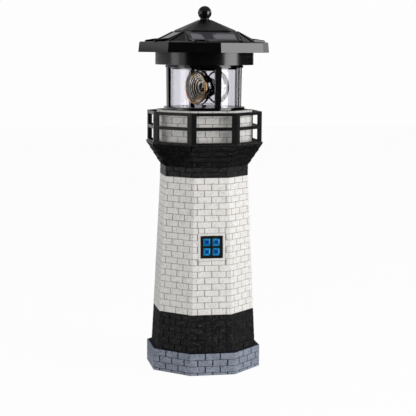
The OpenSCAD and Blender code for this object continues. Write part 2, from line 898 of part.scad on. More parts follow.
module battery_holder() color([0.15, 0.15, 0.15]) {
    h = holder_t + battery_d * holder_h_share;
    translate([-holder_l / 2, battery_y - holder_w / 2, z_deck_top]) difference() {
        cube([holder_l, holder_w, h]);
        translate([holder_end, holder_t, holder_t])
            cube([holder_inner_l, battery_d + 2 * fit, h]);
    }
}

module battery() color("seagreen") {
    nub_r = battery_d * nub_r_share;
    nub_h = battery_l * nub_h_share;
    translate([-battery_l / 2, battery_y, z_deck_top + holder_t + battery_d / 2 + fit])
        rotate([0, 90, 0]) {
            cylinder(r = battery_d / 2, h = battery_l - nub_h);
            cylinder(r = nub_r, h = battery_l);
        }
}

module battery_contacts() color("silver") {
    low = z_deck_top + holder_t;
    mid = low + battery_d / 2 + fit;
    at = battery_l / 2 + contact_gap;
    for (s = [0, 1]) mirror([s, 0, 0]) translate([at, battery_y, 0]) {
        translate([0, -contact_r / 2, low]) cube([contact_t, contact_r, battery_d / 2]);
        translate([0, 0, mid]) rotate([0, 90, 0]) cylinder(r = contact_r, h = contact_t);
    }
}

module circuit_board() color("darkgreen") {
    low = z_deck_top + standoff_h;
    difference() {
        union() {
            translate([board_x - board_w / 2, board_y - board_l / 2, low])
                cube([board_w, board_l, board_t]);
            translate([board_x - chip_w / 2, board_y - chip_l / 2, low + board_t])
                cube([chip_w, chip_l, chip_h]);
            translate([board_x + chip_w / 2, board_y - chip_l, low + board_t])
                cylinder(r = can_r, h = can_h, $fn = 32);
        }
        at_standoffs() cylinder(r = peg_r + running, h = low + 2 * board_t);
    }
}

module switch_body() color([0.2, 0.2, 0.2]) {
    slot = slider_plate_w + switch_travel + 2 * fit;
    deep = slider_plate_d + 2 * fit;
    high = slider_plate_h + 2 * slider_lift;
    translate([0, switch_y, z_cup]) difference() {
        translate([-switch_w / 2, -switch_d / 2, 0]) cube([switch_w, switch_d, switch_h]);
        translate([-slot / 2, -deep / 2, -over]) cube([slot, deep, high + over]);
    }
}

// The slider rests at the end of its slot that is towards -X.
module switch_slider() color("white") {
    translate([-switch_travel / 2, switch_y, 0]) {
        translate([-slider_w / 2, -slider_d / 2, z_collar - slider_reach])
            cube([slider_w, slider_d, slider_reach + collar_t + slider_lift + slider_plate_h]);
        translate([-slider_plate_w / 2, -slider_plate_d / 2, z_cup + slider_lift])
            cube([slider_plate_w, slider_plate_d, slider_plate_h]);
    }
}

// Moves onto one of the roof's slopes: X across it, Y up it and Z out of it
module at_slope(side) {
    in = slope_w * panel_up_share;
    rotate([0, 0, roof_turn + side * quarter])
        translate([0, -slope_foot + in, z_slope + in * slope])
            rotate([slope_angle, 0, 0]) children();
}

module solar_panel(side) color([0.25, 0.22, 0.32]) {
    at_slope(side) translate([-panel_w / 2, -panel_l / 2, -panel_sunk - panel_t])
        cube([panel_w, panel_l, panel_t]);
}

module solar_panel_front() { solar_panel(0); }
module solar_panel_right() { solar_panel(1); }
module solar_panel_back() { solar_panel(2); }
module solar_panel_left() { solar_panel(3); }

// The roof's four slopes and four hip triangles, all moved out by the same distance
module slopes(out) {
    hipped([[slope_foot + out, z_brim - over], [slope_foot + out, z_slope], [slope_top + out, z_cap]],
           [[hip_foot + out, z_brim - over], [hip_foot + out, z_slope], [hip_top + out, z_cap]]);
}

// Upright strips along the two legs of each hip triangle
module hip_ribs() {
    foot_x = hip_foot * sqrt(2) - slope_foot;
    lean = atan2(slope_top - foot_x, slope_foot - slope_top);
    run = norm([slope_top - foot_x, slope_foot - slope_top]);
    for (side = [0:3], s = [0, 1]) rotate([0, 0, side * quarter]) mirror([s, 0, 0])
        translate([slope_top, -slope_top, z_brim]) rotate([0, 0, lean])
            translate([-rib_w / 2, -run, 0]) cube([rib_w, run, z_cap - z_brim]);
}

module roof_shell() color([0.08, 0.08, 0.08]) {
    drop = roof_t / cos(slope_angle);
    eave = concat([[eave_r, z_eave], [brim_r, z_brim - eave_round]],
                  [for (i = [1:round_steps]) let (a = quarter * i / round_steps)
                   [brim_r - eave_round * (1 - cos(a)), z_brim - eave_round * (1 - sin(a))]]);
    pocket_w = panel_w + 2 * panel_gap;
    pocket_l = panel_l + 2 * panel_gap;
    inner_top = z_cap - roof_top_t;
    difference() {
        union() {
            rotate([0, 0, roof_turn + turn / sides / 2]) eight_sided(eave);
            rotate([0, 0, roof_turn]) {
                slopes(0);
                intersection() {
                    slopes(rib_out);
                    hip_ribs();
                }
            }
        }
        difference() {
            union() {
                rotate([0, 0, roof_turn + turn / sides / 2])
                    eight_sided([[roof_in_r, z_eave - over], [roof_in_r, z_brim - roof_t]]);
                rotate([0, 0, roof_turn]) hipped(
                    [[slope_foot - roof_t, z_brim - roof_t - over],
                     [slope_foot - roof_t, z_slope - drop],
                     [slope_foot - roof_t - (inner_top - z_slope + drop) / slope, inner_top]],
                    [[hip_foot - roof_t, z_brim - roof_t - over], [hip_foot - roof_t, z_slope - drop],
                     [hip_foot - roof_t - (inner_top - z_slope + drop) / hip_slope, inner_top]]);
            }
            at_roof_screws() translate([0, 0, z_flange_top]) cylinder(r = boss_r, h = fascia_h);
        }
        at_roof_screws() cylinder(r = small_shank_r, h = z_flange + roof_screw_l + fit);
        for (q = [0:3]) at_slope(q) {
            translate([-pocket_w / 2, -pocket_l / 2, -panel_sunk - panel_t - panel_gap])
                cube([pocket_w, pocket_l, over + panel_t + panel_sunk + panel_gap]);
            translate([0, 0, -2 * drop]) cylinder(r = wire_hole_r, h = 2 * drop);
        }
        cylinder(r = stud_r + fit, h = z_ball);
    }
}

module roof_cap() color([0.08, 0.08, 0.08]) {
    hip = cap_w * cap_hip_share;
    hip_flat = hip * cap_flat / cap_w * cap_hip_share;
    inner_w = cap_w - cap_shell;
    rotate([0, 0, roof_turn]) difference() {
        hipped([[cap_w, z_cap], [cap_w, z_cap_edge], [cap_flat, z_finial]],
               [[hip, z_cap], [hip, z_cap_edge], [hip_flat, z_finial]]);
        hipped([[inner_w, z_cap - over], [inner_w, z_cap],
                [cap_flat - cap_shell, z_finial - cap_shell]],
               [[hip - cap_shell, z_cap - over], [hip - cap_shell, z_cap],
                [hip_flat - cap_shell, z_finial - cap_shell]]);
        cylinder(r = stud_r + fit, h = z_ball);
    }
}

module finial() color([0.08, 0.08, 0.08]) {
    neck_at = finial_rise - sqrt(pow(ball_r, 2) - pow(finial_neck_r, 2));
    foot_lip = neck_at * foot_lip_share;
    flare_w = finial_foot_r - finial_neck_r;
    flare_h = neck_at - foot_lip;
    stud_l = z_finial - z_cap + roof_top_t + stud_below;
    ball_from = asin(finial_neck_r / ball_r);
    translate([0, 0, z_finial]) rotate_extrude($fn = 96) polygon(concat(
        [[0, -stud_l], [stud_r, -stud_l], [stud_r, 0], [finial_foot_r, 0], [finial_foot_r, foot_lip]],
        [for (a = [quarter / 5:quarter / 5:quarter]) [finial_foot_r - flare_w * sin(a),
                               foot_lip + flare_h * (1 - cos(a))]],
        [for (i = [1:20]) let (a = between(ball_from, turn / 2, i / 20))
         [i == 20 ? 0 : ball_r * sin(a), finial_rise - ball_r * cos(a)]]));
}

module finial_nut() color("silver") {
    translate([0, 0, z_cap - roof_top_t - nut_h]) difference() {
        cylinder(r = nut_r, h = nut_h, $fn = 6);
        translate([0, 0, -over]) cylinder(r = stud_r + fit, h = nut_h + 2 * over);
    }
}

// Moves onto the beacon's beam: Z runs out of the reflector's mouth
module along_beam() {
    translate([0, 0, z_beam]) rotate([0, 0, beacon_turn]) rotate([90, 0, 0]) children();
}

module turned(points) {
    along_beam() rotate_extrude($fn = 96) polygon(points);
}

function dish_at(share) = sqrt(between(pow(dish_base_r, 2), pow(dish_r, 2), share));
function bowl_at(place) =
    between(bowl_back_r, bowl_r, (place - bowl_back_at) / (bowl_mouth - bowl_back_at));
function reversed(list) = [for (i = [len(list) - 1:-1:0]) list[i]];

module reflector_dish() color("silver") {
    depth = dish_reach - dish_base_at;
    steps = [for (i = [0:dish_steps - 1])
             let (low = i / dish_steps, high = (i + 1) / dish_steps)
             each [[dish_at(low), dish_base_at + depth * low],
                   [dish_at(high), dish_base_at + depth * between(low, high, riser_share)]]];
    back = [for (i = [0:dish_steps]) let (share = i / dish_steps)
            [dish_at(share) + dish_t, dish_base_at + depth * share - dish_t * (1 - share)]];
    turned(concat(steps, [[dish_r, dish_reach]], reversed(back)));
}

module reflector_rim() color("chocolate") {
    low = bowl_mouth;
    turned([[dish_r + dish_t + running, low + running], [rim_out - rim_lip / 2, low + running],
            [rim_out, low + rim_lip], [rim_out, low + rim_w - rim_lip],
            [rim_out - rim_lip, low + rim_w], [dish_r + rim_lip, low + rim_w],
            [dish_r - rim_lip / 2, low + rim_w - rim_lip / 2],
            [dish_r - rim_lip / 2, dish_reach + running],
            [dish_r + dish_t + running, dish_reach + running]]);
}

module reflector_bowl() color([0.1, 0.1, 0.1]) {
    end = bowl_back_at + bowl_t;
    difference() {
        turned([[barrel_r + running, bowl_back_at], [bowl_back_r, bowl_back_at], [bowl_r, bowl_mouth],
                [bowl_r - bowl_t, bowl_mouth], [bowl_at(end) - bowl_t, end],
                [barrel_r + running, end]]);
        along_beam() translate([0, 0, bowl_window_at]) rotate([0, 90, 0])
            cylinder(r = bowl_window_r, h = 2 * rim_out, center = true);
        translate([0, 0, z_beam]) cylinder(r = spindle_bore_r, h = glass_h);
    }
}

module light_barrel() color("khaki", 0.5) {
    far = dish_base_at - dish_t - running;
    difference() {
        turned([[barrel_r - barrel_t, lens_at + running], [barrel_r, lens_at + running],
                [barrel_r, far], [barrel_r - barrel_t, far]]);
        translate([0, 0, z_beam]) cylinder(r = spindle_bore_r, h = glass_h);
    }
}

module lens() color("aliceblue", 0.4) {
    turned(concat([[0, lens_at], [lens_r, lens_at], [lens_r, lens_at - lens_edge]],
                  [for (i = [1:8]) let (a = i / 8)
                   [i == 8 ? 0 : lens_r * cos(quarter * a),
                    lens_at - lens_edge - lens_bulge * sin(quarter * a)]]));
}

module lens_ring() color([0.1, 0.1, 0.1]) {
    face = lens_at - lens_edge;
    turned([[lens_r + running, lens_at], [lens_ring_out, lens_at],
            [lens_ring_out, lens_at - lens_ring_w], [lens_r + running, lens_at - lens_ring_w],
            [lens_r + running, face]]);
}

// Clear band round the bowl with two arms to the lens, a hollow spindle above and a pin below
module beacon_frame() color([0.1, 0.1, 0.1]) {
    arm_end = lens_at - lens_ring_w;
    band_from = band_at - band_w / 2;
    band_end = band_at + band_w / 2;
    difference() {
        union() {
            turned([[bowl_at(band_from) + band_gap, band_from], [band_out, band_from],
                    [band_out, band_end], [bowl_at(band_end) + band_gap, band_end]]);
            intersection() {
                turned([[band_in, arm_end], [band_out, arm_end],
                        [band_out, band_end], [band_in, band_end]]);
                along_beam() cube([arm_w, 2 * band_out + over, 4 * band_out], center = true);
            }
            translate([0, 0, z_beam + band_in])
                cylinder(r = hub_r, h = z_collar - beam_drop - z_beam - band_in);
            translate([0, 0, z_beam + band_in])
                cylinder(r = spindle_r, h = z_spindle - z_beam - band_in);
            translate([0, 0, z_floor + passing])
                cylinder(r = lower_stem_r, h = z_beam - band_in - z_floor - passing);
            translate([0, 0, z_floor - pivot_l]) cylinder(r = pivot_r, h = pivot_l + 2 * passing);
        }
        translate([0, 0, z_beam]) cylinder(r = spindle_bore_r, h = z_spindle);
        translate([0, 0, z_clip - running])
            tube(spindle_r + over, spindle_r - clip_depth, clip_t + 2 * running);
    }
}

function involute(r, base) = let (a = acos(min(1, base / r))) tan(a) * 180 / PI - a;
// Half a tooth's angle at radius r
function tooth_half(r, pitch, base, teeth) =
    turn / teeth * tooth_share / 2 + involute(pitch, base) - involute(max(r, base), base);
function gear_outline(teeth, first) =
    let (pitch = teeth * gear_module / 2, base = pitch * cos(pressure_angle),
         tip = pitch + tip_share * gear_module, root = pitch - root_share * gear_module,
         start = max(root, base),
         radii = concat(root < base ? [root] : [], [for (s = flank_shares) between(start, tip, s)]))
    [for (i = [0:teeth - 1]) let (mid = first + i * turn / teeth)
     each concat([for (r = radii) let (a = mid - tooth_half(r, pitch, base, teeth))
                  [r * cos(a), r * sin(a)]],
                 [for (r = reversed(radii)) let (a = mid + tooth_half(r, pitch, base, teeth))
                  [r * cos(a), r * sin(a)]])];

// The gear has a tooth, and the pinion a gap, on the line between their centres.
module beacon_gear() color("white") {
    translate([0, 0, z_gear]) difference() {
        linear_extrude(height = gear_t) polygon(gear_outline(gear_teeth, -quarter));
        translate([0, 0, -over]) cylinder(r = spindle_r + gear_fit, h = gear_t + 2 * over);
        at_turns(6) translate([(gear_hub_r + gear_pitch_r) / 2, 0, -over])
            cylinder(r = (gear_pitch_r - gear_hub_r) * web_hole_share, h = gear_t + 2 * over, $fn = 32);
    }
}

module spindle_clip() color("silver") {
    translate([0, 0, z_clip]) difference() {
        tube(clip_r, spindle_r - clip_depth + running, clip_t);
        translate([0, -spindle_r + clip_depth, -over])
            cube([clip_r + over, 2 * (spindle_r - clip_depth), clip_t + 2 * over]);
    }
}

module motor_pinion() color("goldenrod") {
    end_gap = pinion_extra * pinion_end_share;
    translate([0, -gear_centres, 0]) {
        translate([0, 0, z_gear - pinion_extra]) linear_extrude(height = gear_t + 2 * pinion_extra)
            polygon(gear_outline(pinion_teeth, quarter + turn / pinion_teeth / 2));
        translate([0, 0, z_gear])
            cylinder(r = motor_shaft_r, h = z_deck_top + motor_shaft_h - z_gear - end_gap,
                     $fn = 32);
    }
}

plinth();
base_plate();
base_screws();
foot_band();
shaft();
window_frame();
window_panes();
corbel();
gallery_rail();
drum();
lantern_floor();
floor_screws();
lantern_glass();
lantern_cage();
collar_housing();
chassis_plate();
chassis_screws();
drive_motor();
motor_screws();
lamp_stem();
lamp();
battery_holder();
battery();
battery_contacts();
circuit_board();
switch_body();
switch_slider();
roof_shell();
roof_screws();
solar_panel_front();
solar_panel_right();
solar_panel_back();
solar_panel_left();
roof_cap();
finial();
finial_nut();
beacon_frame();
reflector_bowl();
reflector_dish();
reflector_rim();
light_barrel();
lens();
lens_ring();
beacon_gear();
spindle_clip();
motor_pinion();
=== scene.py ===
"""Dresses the garden lighthouse ornament: bricks, paint, plastic, glass, beacon and studio."""

import json
import math
from itertools import product

import bmesh
import bpy
import numpy as np
from mathutils import Matrix, Vector

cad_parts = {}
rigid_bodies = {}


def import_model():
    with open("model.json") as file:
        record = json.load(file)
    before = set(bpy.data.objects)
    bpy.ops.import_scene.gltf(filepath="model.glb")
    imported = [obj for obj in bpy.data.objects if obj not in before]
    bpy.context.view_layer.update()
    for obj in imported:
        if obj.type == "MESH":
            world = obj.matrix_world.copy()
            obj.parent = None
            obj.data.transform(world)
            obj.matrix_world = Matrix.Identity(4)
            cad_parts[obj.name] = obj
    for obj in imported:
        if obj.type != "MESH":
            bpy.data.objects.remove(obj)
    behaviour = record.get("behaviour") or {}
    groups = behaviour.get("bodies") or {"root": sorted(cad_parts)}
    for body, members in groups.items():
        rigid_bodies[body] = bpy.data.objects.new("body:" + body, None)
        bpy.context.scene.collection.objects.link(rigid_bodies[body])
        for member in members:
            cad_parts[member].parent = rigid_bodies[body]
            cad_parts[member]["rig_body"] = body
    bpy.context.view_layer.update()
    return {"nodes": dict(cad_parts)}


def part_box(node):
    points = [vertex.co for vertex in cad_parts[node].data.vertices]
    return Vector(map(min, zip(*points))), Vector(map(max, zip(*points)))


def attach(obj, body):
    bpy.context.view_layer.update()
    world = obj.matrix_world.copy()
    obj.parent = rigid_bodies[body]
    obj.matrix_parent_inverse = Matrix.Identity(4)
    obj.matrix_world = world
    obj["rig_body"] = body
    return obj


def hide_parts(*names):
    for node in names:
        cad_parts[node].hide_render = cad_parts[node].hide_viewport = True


bl_info = {
    "name": "Garden Lighthouse Ornament",
    "version": (1, 0, 0),
    "blender": (4, 5, 0),
    "location": "3D View > Sidebar > Lighthouse",
    "description": "Builds the brickwork, finishes and studio of a garden lighthouse ornament",
    "category": "Object",
}

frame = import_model()

MM = 0.001
UP = Vector((0, 0, 1))
SIDES = 8
FACE_TURN = math.tau / SIDES
HALF_SIDE = math.tan(FACE_TURN / 2)
BRICK_DEPTH = 1.2 * MM
SHARP_EDGE = 50.0  # degrees between faces that shade apart
CLOTH_DISTANCE = 1.0


# Settings


def amount(name, description, default, low=0.0, high=1.0, **kind):
    """A plain number that the user may change."""
    return bpy.props.FloatProperty(
        name=name, description=description, default=default, min=low, max=high, **kind
    )


def size(name, description, default, low=0.0, high=1000.0):
    """A length that the user may change, given in mm and kept in metres."""
    kind = {"precision": 5, "subtype": "DISTANCE", "unit": "LENGTH"}
    return amount(name, description, default * MM, low * MM, high * MM, **kind)


def angle(name, description, degrees):
    """An angle that the user may change."""
    kind = {"subtype": "ANGLE", "unit": "ROTATION"}
    return amount(name, description, math.radians(degrees), -math.pi, math.pi, **kind)


def colour(name, description, default):
    """A paint or plastic colour that the user may change."""
    kind = {"min": 0.0, "max": 1.0, "size": 3, "subtype": "COLOR"}
    return bpy.props.FloatVectorProperty(
        name=name, description=description, default=default, **kind
    )


def whole(name, description, default, low=0, high=1000):
    """A whole number that the user may change."""
    return bpy.props.IntProperty(
        name=name, description=description, default=default, min=low, max=high
    )


class BrickSettings(bpy.types.PropertyGroup):
    """Sizes of the bricks on the tower."""

    course: size("Course", "Height of a course on the tower", 4.65)
    plinth_course: size("Plinth course", "Height of a course on the plinth", 4.9)
    length: size("Brick length", "Length of a brick on the tower", 11.1)
    plinth_length: size("Plinth brick length", "Length of a brick on the plinth", 11.6)
    joint: size("Joint", "Height of the level joints between courses", 0.32)
    upright: size("Upright joint", "Width of the tower's upright joints", 0.56)
    plinth_upright: size("Plinth joint", "Width of the plinth's upright joints", 0.9)
    joint_depth: size("Joint depth", "Depth of the joints between bricks", 0.45)
    rounding: size("Rounding", "Rounding of each brick's edges", 0.2)
    wobble: size("Wobble", "How far a brick's surface strays", 0.1)
    neck: size("Neck", "Height of the corbel's straight neck", 7.9)
    lip: size("Lip", "Height of the gallery's straight lip", 1.5)
    surround: size("Surround", "Width of the white surround of the window", 1.9)
    seed: whole("Seed", "Seed of the strays", 7)


class WindowSettings(bpy.types.PropertyGroup):
    """Sizes of the window's panes."""

    bar: size("Bar", "Width of the frame's outer bars", 1.9)
    muntin: size("Muntin", "Width of the bars between the panes", 1.3)
    slab: size("Slab", "Thickness of the panes", 0.8)
    lift: size("Lift", "Step from the slab to a pane's edges", 0.08)
    swell: size("Swell", "How far a pane stands out in its middle", 0.85)


class PaintSettings(bpy.types.PropertyGroup):
    """Colours of the painted tower."""

    white: colour("White", "White of the shaft and the drum", (0.84, 0.825, 0.80))
    white_joint: colour("White joint", "Joints of the white courses", (0.36, 0.32, 0.28))
    black: colour("Black", "Black of the foot band and the corbel", (0.0052, 0.0052, 0.0052))
    black_joint: colour("Black joint", "Joints of the black courses", (0.0025, 0.0025, 0.0025))
    stone: colour("Stone", "Blue-grey of the plinth", (0.30, 0.335, 0.41))
    stone_joint: colour("Stone joint", "Joints of the plinth", (0.012, 0.016, 0.035))
    pane: colour("Panes", "Blue of the window's panes", (0.0, 0.04, 0.28))
    pane_edge: colour("Pane edges", "Blue near a pane's edges", (0.03, 0.5, 0.9))


class PlasticSettings(bpy.types.PropertyGroup):
    """Colours of the plastic and metal pieces."""

    black: colour("Black plastic", "Black of the roof and the lantern", (0.0035, 0.0035, 0.004))
    rail: colour("Rail", "Satin black of the gallery rail", (0.006, 0.006, 0.0065))
    tube: colour("Lantern tube", "Tint of the lantern's clear tube", (0.84, 0.83, 0.87))
    lens: colour("Lens", "Tint of the clear lens", (0.95, 0.96, 0.98))
    plating: colour("Plating", "Bright plating of the reflector", (0.88, 0.84, 0.74))
    gilt: colour("Warm plating", "Plating where the lamp has warmed it", (0.8, 0.58, 0.22))
    copper: colour("Copper", "Copper rim of the reflector", (0.62, 0.32, 0.11))
    cell: colour("Solar cell", "Dark violet-grey of the cells", (0.012, 0.011, 0.017))
    finger: colour("Cell lines", "Fine silver lines on the cells", (0.1, 0.1, 0.11))


class BeaconSettings(bpy.types.PropertyGroup):
    """Sizes of the ringed reflector."""

    rings: whole("Rings", "Rings of the reflector", 6, 2, 20)
    ring_lean: amount("Ring lean", "Lean of each ring's wall, as a share of its height", 0.22)
    ring_rise: amount("Ring rise", "Rise of each ring's flat, as a share of its height", 0.12)
    dish_wall: size("Dish wall", "Wall of the dish", 0.5)
    dish_radius: size("Dish radius", "Radius of the dish at its mouth", 11.9)
    dish_base: size("Dish base", "Radius of the dish at its bottom", 3.4)
    dish_start: size("Dish start", "Distance of the dish's bottom from the axis", 2.6)
    dish_reach: size("Dish reach", "Distance of the dish's mouth from the axis", 8.6)


class RibSettings(bpy.types.PropertyGroup):
    """Sizes of the ribs beside the roof's hips: distances from the axis, heights over the brim."""

    width: size("Width", "Width of a rib", 2.0)
    crown: size("Crown", "Height of a rib's rounded top", 1.2)
    turn: angle("Turn", "Turn of the slopes from the tower's faces", 3.0)
    slope: amount("Slope", "Rise of a slope over its run", 0.49)
    start: size("Start", "Distance of the ribs' upper ends", 21.2)
    bend: size("Bend", "Distance at which the ribs begin to stand higher", 32.6)
    foot: size("Foot", "Distance of a slope's foot", 35.97)
    end: size("End", "Distance of the ribs' lower ends", 43.5)
    start_side: size("Start side", "From the slope's middle to a rib's upper end", 20.37)
    foot_side: size("Foot side", "From the slope's middle to a rib at the foot", 18.43)
    start_height: size("Start height", "Height of the upper ends", 8.13)
    bend_height: size("Bend height", "Height at the bend", 2.65)
    foot_height: size("Foot height", "Height at a slope's foot", 2.45)
    end_height: size("End height", "Height of the lower ends", 1.5)
    panel_lift: size("Panel lift", "Height of the panels' lowest corners", 0.13)
    sunk: size("Sunk", "Depth of the ribs' undersides in the roof", 0.5)


class StudioSettings(bpy.types.PropertyGroup):
    """Camera and lamps."""

    azimuth: angle("Azimuth", "Turn of the camera from the window's side", -10.9)
    elevation: angle("Elevation", "Height of the camera above the horizon", 7.1)
    roll: angle("Roll", "Roll of the camera about its own axis", 0.38)
    distance: size("Distance", "Distance of the camera from its target", 1018.2, 100, 5000)
    target_side: size("Target side", "Target to the right of the tower's axis", 3.52)
    target_height: size("Target height", "Height of the camera's target", 123.55)
    lens: amount("Lens", "Focal length on a 36 mm sensor", 112.5, 20.0, 300.0)
    key: amount("Key light", "Power of the softbox on the right", 4.6, 0.0, 100.0)
    fill: amount("Fill light", "Power of the softbox on the left", 1.3, 0.0, 100.0)
    strip: amount("Strip light", "Power of the low strip on the left", 0.22, 0.0, 100.0)
    rim: amount("Rim light", "Power of the softbox behind on the right", 0.53, 0.0, 100.0)
    front: amount("Front light", "Power of the softbox over the camera", 1.3, 0.0, 100.0)
    world: amount("World", "Strength of the light from all round", 0.42, 0.0, 5.0)


GROUPS = {
    "lighthouse_bricks": BrickSettings,
    "lighthouse_window": WindowSettings,
    "lighthouse_paint": PaintSettings,
    "lighthouse_plastic": PlasticSettings,
    "lighthouse_beacon": BeaconSettings,
    "lighthouse_ribs": RibSettings,
    "lighthouse_studio": StudioSettings,
}


# Finishes


def add_node(tree, kind, inputs=None, **settings):
    """A node with its settings and with its inputs set or linked."""
    made = tree.nodes.new(kind)
    for key, value in settings.items():
        setattr(made, key, value)
    for key, value in (inputs or {}).items():
        if isinstance(value, bpy.types.NodeSocket):
            tree.links.new(value, made.inputs[key])
        else:
            made.inputs[key].default_value = value
    return made


class Finish:
    """A material that is built node by node around one Principled shader."""

    def __init__(self, name, **sockets):
        self.material = bpy.data.materials.new(name)
        self.material.use_nodes = True
        self.tree = self.material.node_tree
        self.tree.nodes.clear()
        self.shader = add_node(self.tree, "ShaderNodeBsdfPrincipled")
        surface = {"Surface": self.shader.outputs[0]}
        self.output = add_node(self.tree, "ShaderNodeOutputMaterial", surface)
        self.place = add_node(self.tree, "ShaderNodeTexCoord").outputs
        for key, value in sockets.items():
            self.shader.inputs[key.replace("_", " ")].default_value = value

    def make(self, kind, inputs=None, **settings):
        """The first output of a new node."""
        return add_node(self.tree, kind, inputs, **settings).outputs[0]

    def where(self, scale):
        """Coordinates on the piece, stretched."""
        inputs = {"Vector": self.place["Object"], "Scale": scale}
        return self.make("ShaderNodeMapping", inputs)

    def split(self, source):
        """The three parts of a place on the piece."""
        return add_node(self.tree, "ShaderNodeSeparateXYZ", {0: self.place[source]}).outputs

    def grain(self, scale, detail=3.0, rough=0.55, where=None):
        """Cloudy noise from 0 to 1."""
        inputs = {"Vector": where or self.place["Object"], "Scale": scale}
        return self.make("ShaderNodeTexNoise", inputs | {"Detail": detail, "Roughness": rough})

    def spread(self, value, low=0.3, high=0.7, to_low=0.0, to_high=1.0):
        """Stretches a value's range."""
        inputs = {"Value": value, "From Min": low, "From Max": high}
        return self.make("ShaderNodeMapRange", inputs | {"To Min": to_low, "To Max": to_high})

    def work(self, kind, a, b=0.0):
        """Arithmetic on one value or two."""
        return self.make("ShaderNodeMath", {0: a, 1: b}, operation=kind)

    def blend(self, share, a, b):
        """A colour between two."""
        made = add_node(self.tree, "ShaderNodeMix", {0: share}, data_type="RGBA")
        for socket, value in ((made.inputs[6], a), (made.inputs[7], b)):
            if isinstance(value, bpy.types.NodeSocket):
                self.tree.links.new(value, socket)
            else:
                socket.default_value = (*value[:3], 1.0)
        return made.outputs[2]

    def relief(self, height, distance, strength=1.0, under=None):
        """Bump from a height."""
        inputs = {"Height": height, "Distance": distance, "Strength": strength}
        if under is not None:
            inputs["Normal"] = under
        return self.make("ShaderNodeBump", inputs)

    def wired(self, **links):
        """The material, with these values linked into its shader."""
        for key, value in links.items():
            self.tree.links.new(value, self.shader.inputs[key.replace("_", " ")])
        return self.material

    def shown_as(self, surface):
        """The material, with another shader in the place of its own."""
        self.tree.links.new(surface, self.output.inputs["Surface"])
        return self.material


def tone(base, factor):
    """A colour made lighter or darker."""
    return tuple(min(1.0, channel * factor) for channel in base[:3])


def rough_paint(
    name,
    base,
    roughness=0.5,
    speckle=0.12,
    height=0.05 * MM,
    gloss=0.5,
    painted_glint=None,
    grit=620,
    least=0.53,
):
    """Paint over moulded resin: fine pits, soft mottling and flecks; the light flecks given for
    black paint are painted glints.
    """
    kit = Finish(name, Specular_IOR_Level=gloss)
    fine, pits = kit.grain(1900, 3, 0.6), kit.grain(grit, 5, 0.7)
    dark, pale = tone(base, 1 - speckle), tone(base, 1 + speckle * 0.6)
    body = kit.blend(kit.spread(kit.grain(160, 5)), dark, pale)
    body = kit.blend(kit.spread(fine, 0.35, 0.65, 1.0, 0.0), body, dark)
    spots = kit.spread(pits, least, least + 0.07)
    # flecks on the raised pits: darker paint unless a lighter colour is given; black paint's
    # lighter flecks are painted glints
    body = kit.blend(spots, body, painted_glint or tone(base, 1 - 2.2 * speckle))
    sheen = kit.spread(pits, to_low=roughness - 0.12, to_high=roughness + 0.12)
    bump = kit.relief(fine, height * 0.5, 0.8, kit.relief(pits, height))
    return kit.wired(Base_Color=body, Roughness=sheen, Normal=bump)


def moulded_plastic(name, base, roughness=0.2, orange=0.004 * MM, gloss=0.5):
    """Injection-moulded plastic: faint orange peel, handling marks and dust."""
    kit = Finish(name, Specular_IOR_Level=gloss)
    scuff = kit.grain(90, 6, 0.7, kit.where((1, 1, 6)))
    dust = kit.spread(kit.grain(700, 5, 0.7), 0.55, 0.85, 0.0, 0.35)
    body = kit.blend(dust, base, tone(tuple(c + 0.006 for c in base[:3]), 1.7))
    sheen = kit.spread(scuff, 0.3, 0.75, roughness * 0.8, roughness * 1.5)
    peel = kit.relief(kit.grain(420, 2), orange)
    return kit.wired(Base_Color=body, Roughness=sheen, Normal=peel)


def plain_metal(name, base, roughness=0.3, brushed=(1, 1, 1)):
    """Metal with fine marks along its working direction."""
    kit = Finish(name, Metallic=1.0)
    marks = kit.grain(900, 5, 0.65, kit.where(brushed))
    stain = kit.spread(kit.grain(150, 4), 0.35)
    body = kit.blend(stain, tone(base, 0.86), tone(base, 1.06))
    sheen = kit.spread(marks, 0.3, 0.7, roughness * 0.75, roughness * 1.35)
    return kit.wired(Base_Color=body, Roughness=sheen, Normal=kit.relief(marks, 0.003 * MM))


def ring_plating(name, base, gilt):
    """Thin bright plating on moulded plastic, yellow where the lamp has warmed it."""
    kit = Finish(name, Metallic=1.0)
    patches = kit.spread(kit.grain(210, 2, 0.5), 0.46, 0.6)
    dull = kit.spread(kit.grain(330, 2, 0.5, kit.where((1, 1, 0.6))), 0.4, 0.62)
    body = kit.blend(dull, kit.blend(patches, base, gilt), tone(base, 0.3))
    return kit.wired(Base_Color=body, Roughness=kit.spread(kit.grain(700, 4), 0.3, 0.7, 0.07, 0.14))


def clear_plastic(name, tint, roughness=0.02):
    """Clear moulded plastic with faint haze, for the tube, the lens and the yoke."""
    kit = Finish(name, Transmission_Weight=1.0, IOR=1.45)
    haze = kit.grain(120, 4)
    body = kit.blend(kit.spread(haze), tone(tint, 0.985), tint)
    sheen = kit.spread(haze, 0.35, 0.75, roughness, roughness * 2.2)
    flow = kit.relief(kit.grain(60, 1, 0.5, kit.where((1, 1, 0.4))), 0.004 * MM)
    return kit.wired(Base_Color=body, Roughness=sheen, Normal=flow)


def pane_finish(name, centre, edge):
    """Blue resin pane, deeper in its middle."""
    kit = Finish(name, Coat_Weight=0.8, Coat_Roughness=0.04, Specular_IOR_Level=0.5)
    off = [kit.work("ABSOLUTE", kit.work("SUBTRACT", axis, 0.5)) for axis in kit.split("UV")[:2]]
    near_edge = kit.work("MAXIMUM", *(kit.spread(side, 0.14, 0.46) for side in off))
    cloud = kit.spread(kit.grain(620, 3), 0.35, 0.65, 0.45, 1.35)
    share = kit.work("MULTIPLY", kit.work("POWER", near_edge, 1.2), cloud)
    sheen = kit.spread(cloud, 0.45, 1.35, 0.1, 0.2)
    bump = kit.relief(kit.grain(350, 2), 0.02 * MM)
    return kit.wired(Base_Color=kit.blend(share, centre, edge), Roughness=sheen, Normal=bump)


